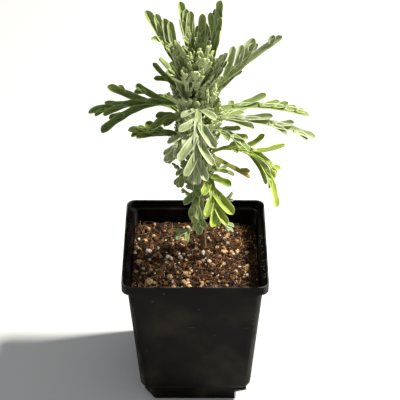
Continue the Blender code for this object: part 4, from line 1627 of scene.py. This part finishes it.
@dataclass(frozen=True)
class Scatter:
    """Loose stones of one kind strewn on the soil.

    Attributes:
        name: The piece's name.
        slot: The name of a material slot; not used.
        look: Its finish.
        count: How many there are.
        small: The smallest one's length, in millimetres.
        large: The largest one's length, in millimetres.
        rough: How knobbly they are.
        bare: How much of the right and of the back they leave bare, as a share of the half width.
        edge: How near the pot's wall they come, as a share of the half width.
    """

    name: str
    slot: str
    look: GroundFinish
    count: int
    small: float
    large: float
    rough: float
    bare: float = 0.2
    edge: float = 0.975

    def build(self, seed: int) -> bpy.types.Object:
        """Strews them, more to the front and the left, half sunk between the crumbs.

        Most are small: a length is small + (large - small) * u^2.6 for an even u. None lies
        where one of the large grains does.

        Args:
            seed: Where its random numbers start.

        Returns:
            The piece.
        """
        draw = np.random.default_rng(seed)
        spread = draw.uniform(-1, 1, (self.count, 2))
        spread *= 1 - self.bare * draw.uniform(0, 1, (self.count, 2)) * (spread > 0)
        x, y = np.clip(spread, -self.edge, self.edge).T * SOIL_HALF
        long = (self.small + (self.large - self.small) * draw.uniform(0, 1, self.count) ** 2.6) * MM / 2
        sizes = long[:, None] * draw.uniform((0.8, 0.6, 0.45), (1.0, 0.9, 0.75), (self.count, 3))
        grains = np.array(list(GRAIN_BOXES.values()))
        middles, reach = grains.mean(axis=1)[:, :2], (grains[:, 1] - grains[:, 0])[:, :2].max(axis=1) / 2
        clear = (np.hypot(x[:, None] - middles[:, 0], y[:, None] - middles[:, 1]) > reach).all(axis=1)
        x, y, sizes = x[clear], y[clear], sizes[clear]
        z = soil_height(x, y) + sizes[:, 2] * 0.4
        mesh = mesh_of(self.name, chips(np.stack([x, y, z], 1), sizes, draw, self.rough), smooth=False)
        mark(mesh, "tint", np.repeat(draw.uniform(0, 1, len(x)), len(mesh.vertices) // len(x)))
        return place(mesh, self.look.material())


# The first colour of each finish is also the painted shade in its small hollows.
SOIL = GroundFinish(
    "dark_soil", (0.007, 0.004, 0.002), (0.062, 0.028, 0.011), (0.22, 0.11, 0.045), 700.0, 0.0003
)
PERLITE = GroundFinish(
    "white_perlite", (0.50, 0.40, 0.28), (0.92, 0.87, 0.77), (0.74, 0.58, 0.40), 900.0, 0.0003
)
PUMICE = GroundFinish(
    "tan_pumice", (0.34, 0.18, 0.08), (0.82, 0.56, 0.30), (0.88, 0.70, 0.46), 900.0, 0.0003
)
BARK = GroundFinish(
    "brown_bark", (0.040, 0.018, 0.008), (0.28, 0.125, 0.046), (0.50, 0.25, 0.09), 800.0, 0.0003
)
COIR = GroundFinish(
    "coir_fibre", (0.12, 0.050, 0.018), (0.62, 0.33, 0.13), (0.80, 0.46, 0.19), 500.0, 0.0001
)

STREWN = (
    Scatter("soil_crumbs", "soil", SOIL, 1500, 0.7, 2.6, 0.28),
    Scatter("bark_chips", "bark", BARK, 520, 0.8, 4.4, 0.3),
    Scatter("pumice_chips", "pumice", PUMICE, 300, 0.8, 4.6, 0.24),
    Scatter("perlite_chips", "perlite", PERLITE, 130, 0.7, 3.8, 0.2),
)


@dataclass
class Ground:
    """The soil and everything loose on it.

    Attributes:
        rows: How many rings the top layer has, from its edge to its middle.
        around: How many points a ring has.
        corner: The soil's corner radius.
        sunk: How deep the layer reaches into the solid soil.
        raised: How far the large grains stand over their solids, to lie on the crumbs.
        swollen: How much larger than its solid a large grain is.
        fibres: How many coir fibres lie in the soil.
        fibre_points: How many points a fibre has.
        fibre_edge: How near the pot's wall a fibre comes, as a share of the half width.
    """

    rows: int = 120
    around: int = 640
    corner: float = 0.0043
    sunk: float = 0.003
    raised: float = 0.0007
    swollen: float = 1.05
    fibres: int = 460
    fibre_points: int = 8
    fibre_edge: float = 0.985

    def build(self) -> None:
        """Makes the layer, the grains, the strewn stones and the fibres, and dresses the solid soil."""
        dress("potting_soil", SOIL.material())
        self.build_layer()
        self.build_grains()
        for index, kind in enumerate(STREWN):
            kind.build(STONE_SEED + index)
        self.build_fibres()

    def build_layer(self) -> bpy.types.Object:
        """Makes the crumbly top layer over the solid soil.

        Its surface is S(r, q): the outline at q drawn in by r towards the middle, at the height
        that soil_height gives, with one ring sunk into the soil to close it.

        Returns:
            The layer.
        """
        q = np.linspace(0, 2 * np.pi, self.around, endpoint=False)
        outline = rounded_square(q, SOIL_HALF - 0.00005, self.corner)
        shares = np.concatenate([[1.0], np.linspace(1.0, 0.004, self.rows)])[:, None, None]
        flat = outline[None] * shares
        z = soil_height(flat[..., 0], flat[..., 1])
        z[0] = SOIL_TOP - self.sunk
        mesh = mesh_of("topsoil", tubes(np.concatenate([flat, z[..., None]], -1)[None]))
        x, y = points_of(mesh)[:, :2].T
        # Painted shade: the tint follows the height of the middle-sized crumbs, so the soil is darker in the
        # hollows between them.
        mark(mesh, "tint", 0.75 * lumps(x, y, *CRUMBS[1][1:]) + 0.2)
        return place(mesh, SOIL.material())

    def build_grains(self) -> None:
        """Makes each large grain in the place of its solid.

        Its radius in the direction (t, q) is the solid's half size times 1 plus three waves of
        growing pitch.
        """
        finishes = {"perlite": PERLITE, "pumice": PUMICE, "bark": BARK}
        for index, (name, (low, high)) in enumerate(sorted(GRAIN_BOXES.items())):
            draw = np.random.default_rng(GRAIN_SEED + index)
            t = np.linspace(0.06, np.pi - 0.06, 26)[:, None]
            q = np.linspace(0, 2 * np.pi, 36, endpoint=False)[None]
            a, b, c, d = draw.uniform(0, 6, 4)
            bumpy = 1 + 0.10 * np.sin(3 * q + a) * np.sin(2 * t + b) + 0.07 * np.sin(5 * q + c + 3 * t)
            bumpy = bumpy + 0.05 * np.sin(9 * q + d) * np.sin(8 * t + a) * np.sin(t)
            rounds = np.sin(t) * np.cos(q), np.sin(t) * np.sin(q), -np.cos(t)
            ball = np.stack(np.broadcast_arrays(*rounds), -1)
            middle = (low + high) / 2 + np.array([0, 0, self.raised])
            rings = middle + ball * bumpy[..., None] * (high - low) / 2 * self.swollen
            mesh = mesh_of(f"{name}_rough", tubes(rings[None]))
            mark(mesh, "tint", np.full(len(mesh.vertices), draw.uniform(0.55, 0.85)))
            kind = name.split("_")[0]
            place(mesh, finishes[kind].material(), (name,))

    def build_fibres(self) -> bpy.types.Object:
        """Makes the coir fibres that lie in the soil.

        A fibre's line bends evenly in the plane and arches by a share of its length, and it is a
        four-sided tube that thins to both ends.

        Returns:
            The fibres as one piece.
        """
        count, steps, edge = self.fibres, self.fibre_points - 1, self.fibre_edge * SOIL_HALF
        draw = np.random.default_rng(FIBRE_SEED)
        t = np.linspace(0, 1, self.fibre_points)[None]
        long = draw.uniform(3, 14, (count, 1)) * MM
        angle = draw.uniform(0, 2 * np.pi, (count, 1)) + draw.uniform(-1.8, 1.8, (count, 1)) * t
        start = draw.uniform(-0.95, 0.95, (count, 2)) * SOIL_HALF
        x = start[:, :1] + np.cumsum(np.cos(angle) * long / steps, 1)
        y = start[:, 1:] + np.cumsum(np.sin(angle) * long / steps, 1)
        x, y = (np.clip(value, -edge, edge) for value in (x, y))
        arch = draw.uniform(0.0, 0.16, (count, 1)) * long * np.sin(np.pi * t)
        height = soil_height(x, y)
        z = height * 0.5 + height.mean(1, keepdims=True) * 0.5 + 0.0003 + arch
        radius = draw.uniform(0.00007, 0.00018, (count, 1)) * (0.4 + 0.6 * np.sin(np.pi * t))
        q = np.arange(4) * np.pi / 2
        side = np.stack([-np.sin(angle), np.cos(angle), np.zeros_like(angle)], -1)
        middle = np.stack([x, y, z], -1)[:, :, None]
        rings = middle + radius[..., None, None] * (
            np.cos(q)[:, None] * side[:, :, None] + np.sin(q)[:, None] * np.array([0.0, 0.0, 1.0])
        )
        mesh = mesh_of("coir_fibres", tubes(rings))
        mark(mesh, "tint", np.repeat(draw.uniform(0, 1, count), len(mesh.vertices) // count))
        return place(mesh, COIR.material())


def rounded_square(q: Array, half: float, corner: float) -> Array:
    """Points on a square with rounded corners, evenly spaced by the angle q.

    A direction is carried out to the rounded square by the superellipse whose exponent gives its
    corners the wanted radius: |x|^n + |y|^n = half^n with n = 2 + 1.4 * half / corner.

    Args:
        q: Angles from 0 to 2 pi.
        half: Half the square's width.
        corner: The corner radius.

    Returns:
        Points with x and y.
    """
    n = 2 + 1.4 * half / corner
    x, y = np.cos(q), np.sin(q)
    reach = half / (np.abs(x) ** n + np.abs(y) ** n) ** (1 / n)
    return np.stack([x * reach, y * reach], -1)


# Pot and stage


@dataclass(frozen=True)
class Bits:
    """Small crumbs that lie on one side of the pot's ledge.

    Attributes:
        name: The piece's name.
        slot: The name of a material slot; not used.
        look: Its finish.
        count: How many there are.
        side: 1 for the right side of the pot and -1 for the left.
        reach: Between which places along the side they lie.
        sizes: The smallest and the largest length, in millimetres.
    """

    name: str
    slot: str
    look: GroundFinish | LeafFinish
    count: int
    side: int
    reach: tuple[float, float]
    sizes: tuple[float, float]


@dataclass
class Pot:
    """The black nursery pot: its solid, dressed, with what lies and stands on its inner ledge.

    Attributes:
        ledge: The distances from the middle between which the ledge lies.
        ledge_drop: How far the ledge lies under the rim.
        tab: Half the size of a moulded tab along, out from the wall, and up.
        tabs_at: How far from the middle the tabs stand.
        back_tabs: Their places along the back.
        side_tabs: For those at the sides, 1 or -1 for the side and the place along it.
        bits: What lies on the ledge.
        look: Its plastic.
    """

    ledge: tuple[float, float] = (0.0412, 0.0436)
    ledge_drop: float = 0.005
    tab: tuple[float, float, float] = (0.0034, 0.0007, 0.0013)
    tabs_at: float = 0.0441
    back_tabs: tuple[float, ...] = (-0.028, -0.006, 0.022)
    side_tabs: tuple[tuple[int, float], ...] = ((-1, -0.012), (-1, 0.020), (1, 0.004))
    bits: tuple[Bits, ...] = (
        Bits("ledge_crumbs", "soil", SOIL, 90, -1, (-0.041, 0.036), (0.4, 1.1)),
        Bits("ledge_leaf_bits", "leaf", LEAF_FINISHES[LeafKind.MATURE], 26, 1, (-0.030, 0.014), (0.4, 0.9)),
    )
    # Its second colour is that of the scratches and of the painted highlight on the lip and corners.
    look: PlasticFinish = PlasticFinish(
        "black_plastic", (0.0034, 0.0029, 0.0020), (0.085, 0.085, 0.078), (0.060, 0.050, 0.036), POT_BOX[1].z
    )

    def build(self) -> None:
        """Makes the crumbs and the tabs, and dresses the solid."""
        plastic = self.look.material()
        self.build_bits()
        self.build_tabs(plastic)
        dress("nursery_pot", plastic)

    def build_bits(self) -> None:
        """Strews the crumbs and leaf bits on the ledge."""
        draw = np.random.default_rng(LEDGE_SEED)
        z = POT_BOX[1].z - self.ledge_drop
        for kind in self.bits:
            sizes = draw.uniform(*kind.sizes, (kind.count, 3)) * MM / 2 * (1, 1.3, 0.7)
            x = kind.side * draw.uniform(*self.ledge, kind.count)
            places = np.stack([x, draw.uniform(*kind.reach, kind.count), z + sizes[:, 2] * 0.8], 1)
            mesh = mesh_of(kind.name, chips(places, sizes, draw, 0.25), smooth=False)
            mark(mesh, "tint", np.repeat(draw.uniform(0, 1, kind.count), len(mesh.vertices) // kind.count))
            place(mesh, kind.look.material())

    def build_tabs(self, look: bpy.types.Material) -> None:
        """Makes the tabs: flat blocks along the back of the collar and down its sides.

        Args:
            look: Their material.
        """
        along_wall, out, up = self.tab
        q = np.radians([45, 135, 225, 315])
        square = math.sqrt(2) * np.stack([np.cos(q), np.sin(q)], -1)
        z = POT_BOX[1].z - self.ledge_drop + np.array([-0.0001, 2 * up])
        middles = [(x, self.tabs_at) for x in self.back_tabs]
        middles += [(side * self.tabs_at, y) for side, y in self.side_tabs]
        halves = [(along_wall, out)] * len(self.back_tabs) + [(out, along_wall)] * len(self.side_tabs)
        flat = np.array(middles)[:, None] + square * np.array(halves)[:, None]
        rings = np.empty((len(flat), 2, 4, 3))
        rings[..., :2] = flat[:, None]
        rings[..., 2] = z[:, None]
        place(mesh_of("moulded_tabs", tubes(rings), smooth=False), look)


@dataclass(frozen=True)
class Lamp:
    """A round soft light.

    Attributes:
        name: Its name.
        away: Where it stands from what it lights, in metres.
        size: Its width in metres.
        power: Its power in watts.
        colour: Its colour.
    """

    name: str
    away: tuple[float, float, float]
    size: float
    power: float
    colour: Colour

    def build(self, target: Vector) -> None:
        """Stands it in the scene, turned to the target.

        Args:
            target: What it lights.
        """
        data = bpy.data.lights.new(self.name, "AREA")
        data.shape = "DISK"
        data.size, data.energy, data.color = self.size, self.power, self.colour
        lamp = bpy.data.objects.new(self.name, data)
        lamp.location = target + Vector(self.away)
        lamp.rotation_euler = (-Vector(self.away)).to_track_quat("-Z", "Y").to_euler()
        bpy.context.scene.collection.objects.link(lamp)


@dataclass
class Stage:
    """The pale floor, the soft lights and the camera.

    Attributes:
        pitch: How far the camera looks down, in degrees.
        distance: How far it is from what it looks at, in metres.
        lens: Its focal length in millimetres.
        aim: What it looks at: a place along X, and a share of the object's height.
        half_floor: Half the floor's width in metres.
        floor: The two colours of the floor's faint clouds.
        sky: The surround's colour.
        sky_strength: How bright the surround is.
        lit: What the lights point at.
        lamps: The lights.
    """

    pitch: float = 36.4
    distance: float = 0.8617
    lens: float = 125.6
    aim: tuple[float, float] = (0.003, 0.5231)
    half_floor: float = 30.0
    floor: tuple[Colour, Colour] = ((0.66, 0.66, 0.655), (0.70, 0.70, 0.695))
    sky: Colour = (0.95, 0.98, 1.0)
    sky_strength: float = 0.36
    lit: tuple[float, float, float] = (0.0, 0.0, 0.14)
    lamps: tuple[Lamp, ...] = (
        Lamp("key", (0.92, 0.24, 1.0), 0.17, 43.0, (1.0, 0.97, 0.90)),
        Lamp("fill", (-0.9, -1.1, 0.8), 1.2, 1.5, (0.95, 0.98, 1.0)),
    )

    def build(self) -> None:
        """Makes them all, and shows their light as it is."""
        bpy.context.scene.view_settings.view_transform = "Standard"
        self.build_floor()
        self.build_lights()
        self.build_camera()

    def build_floor(self) -> None:
        """A wide pale sheet that the pot stands on."""
        corners = self.half_floor * np.array([(-1, -1, 0), (1, -1, 0), (1, 1, 0), (-1, 1, 0)], float)
        mesh = mesh_of("floor", Shell(corners, (np.array([[0, 1, 2, 3]]),)))
        made, sheet, shader, spot = new_material("pale_floor")
        cloud = sheet.noise(spot, 3.0, 2.0)
        sheet.feed(shader.inputs["Base Color"], sheet.mix(cloud, *self.floor))
        shader.inputs["Roughness"].default_value = 0.9
        mesh.materials.append(made)
        floor = bpy.data.objects.new("floor", mesh)
        bpy.context.scene.collection.objects.link(floor)

    def build_lights(self) -> None:
        """A small key from the right, a low fill from the left and an even white surround."""
        world = bpy.data.worlds.new("surround")
        world.use_nodes = True
        background = world.node_tree.nodes["Background"].inputs
        background["Color"].default_value = (*self.sky, 1.0)
        background["Strength"].default_value = self.sky_strength
        bpy.context.scene.world = world
        for lamp in self.lamps:
            lamp.build(Vector(self.lit))

    def build_camera(self) -> None:
        """A long lens that looks down on the plant from the front."""
        data = bpy.data.cameras.new("camera")
        data.lens = self.lens
        data.sensor_width = 36.0
        camera = bpy.data.objects.new("camera", data)
        turn = math.radians(90 - self.pitch)
        target = Vector((self.aim[0], 0.0, self.aim[1] * CAD_BOX[1].z))
        back = Vector((0.0, -math.sin(turn), math.cos(turn)))
        stand = Matrix.Translation(target + back * self.distance)
        camera.matrix_world = stand @ Matrix.Rotation(turn, 4, "X")
        bpy.context.scene.collection.objects.link(camera)
        bpy.context.scene.camera = camera


def main() -> None:
    """Builds the plant, its soil and its pot, and sets the stage round them."""
    logging.basicConfig(level=logging.INFO, format="%(message)s")
    Stage().build()
    Pot().build()
    Ground().build()
    Stem().build()
    Foliage().build()


if __name__ == "__main__":
    main()
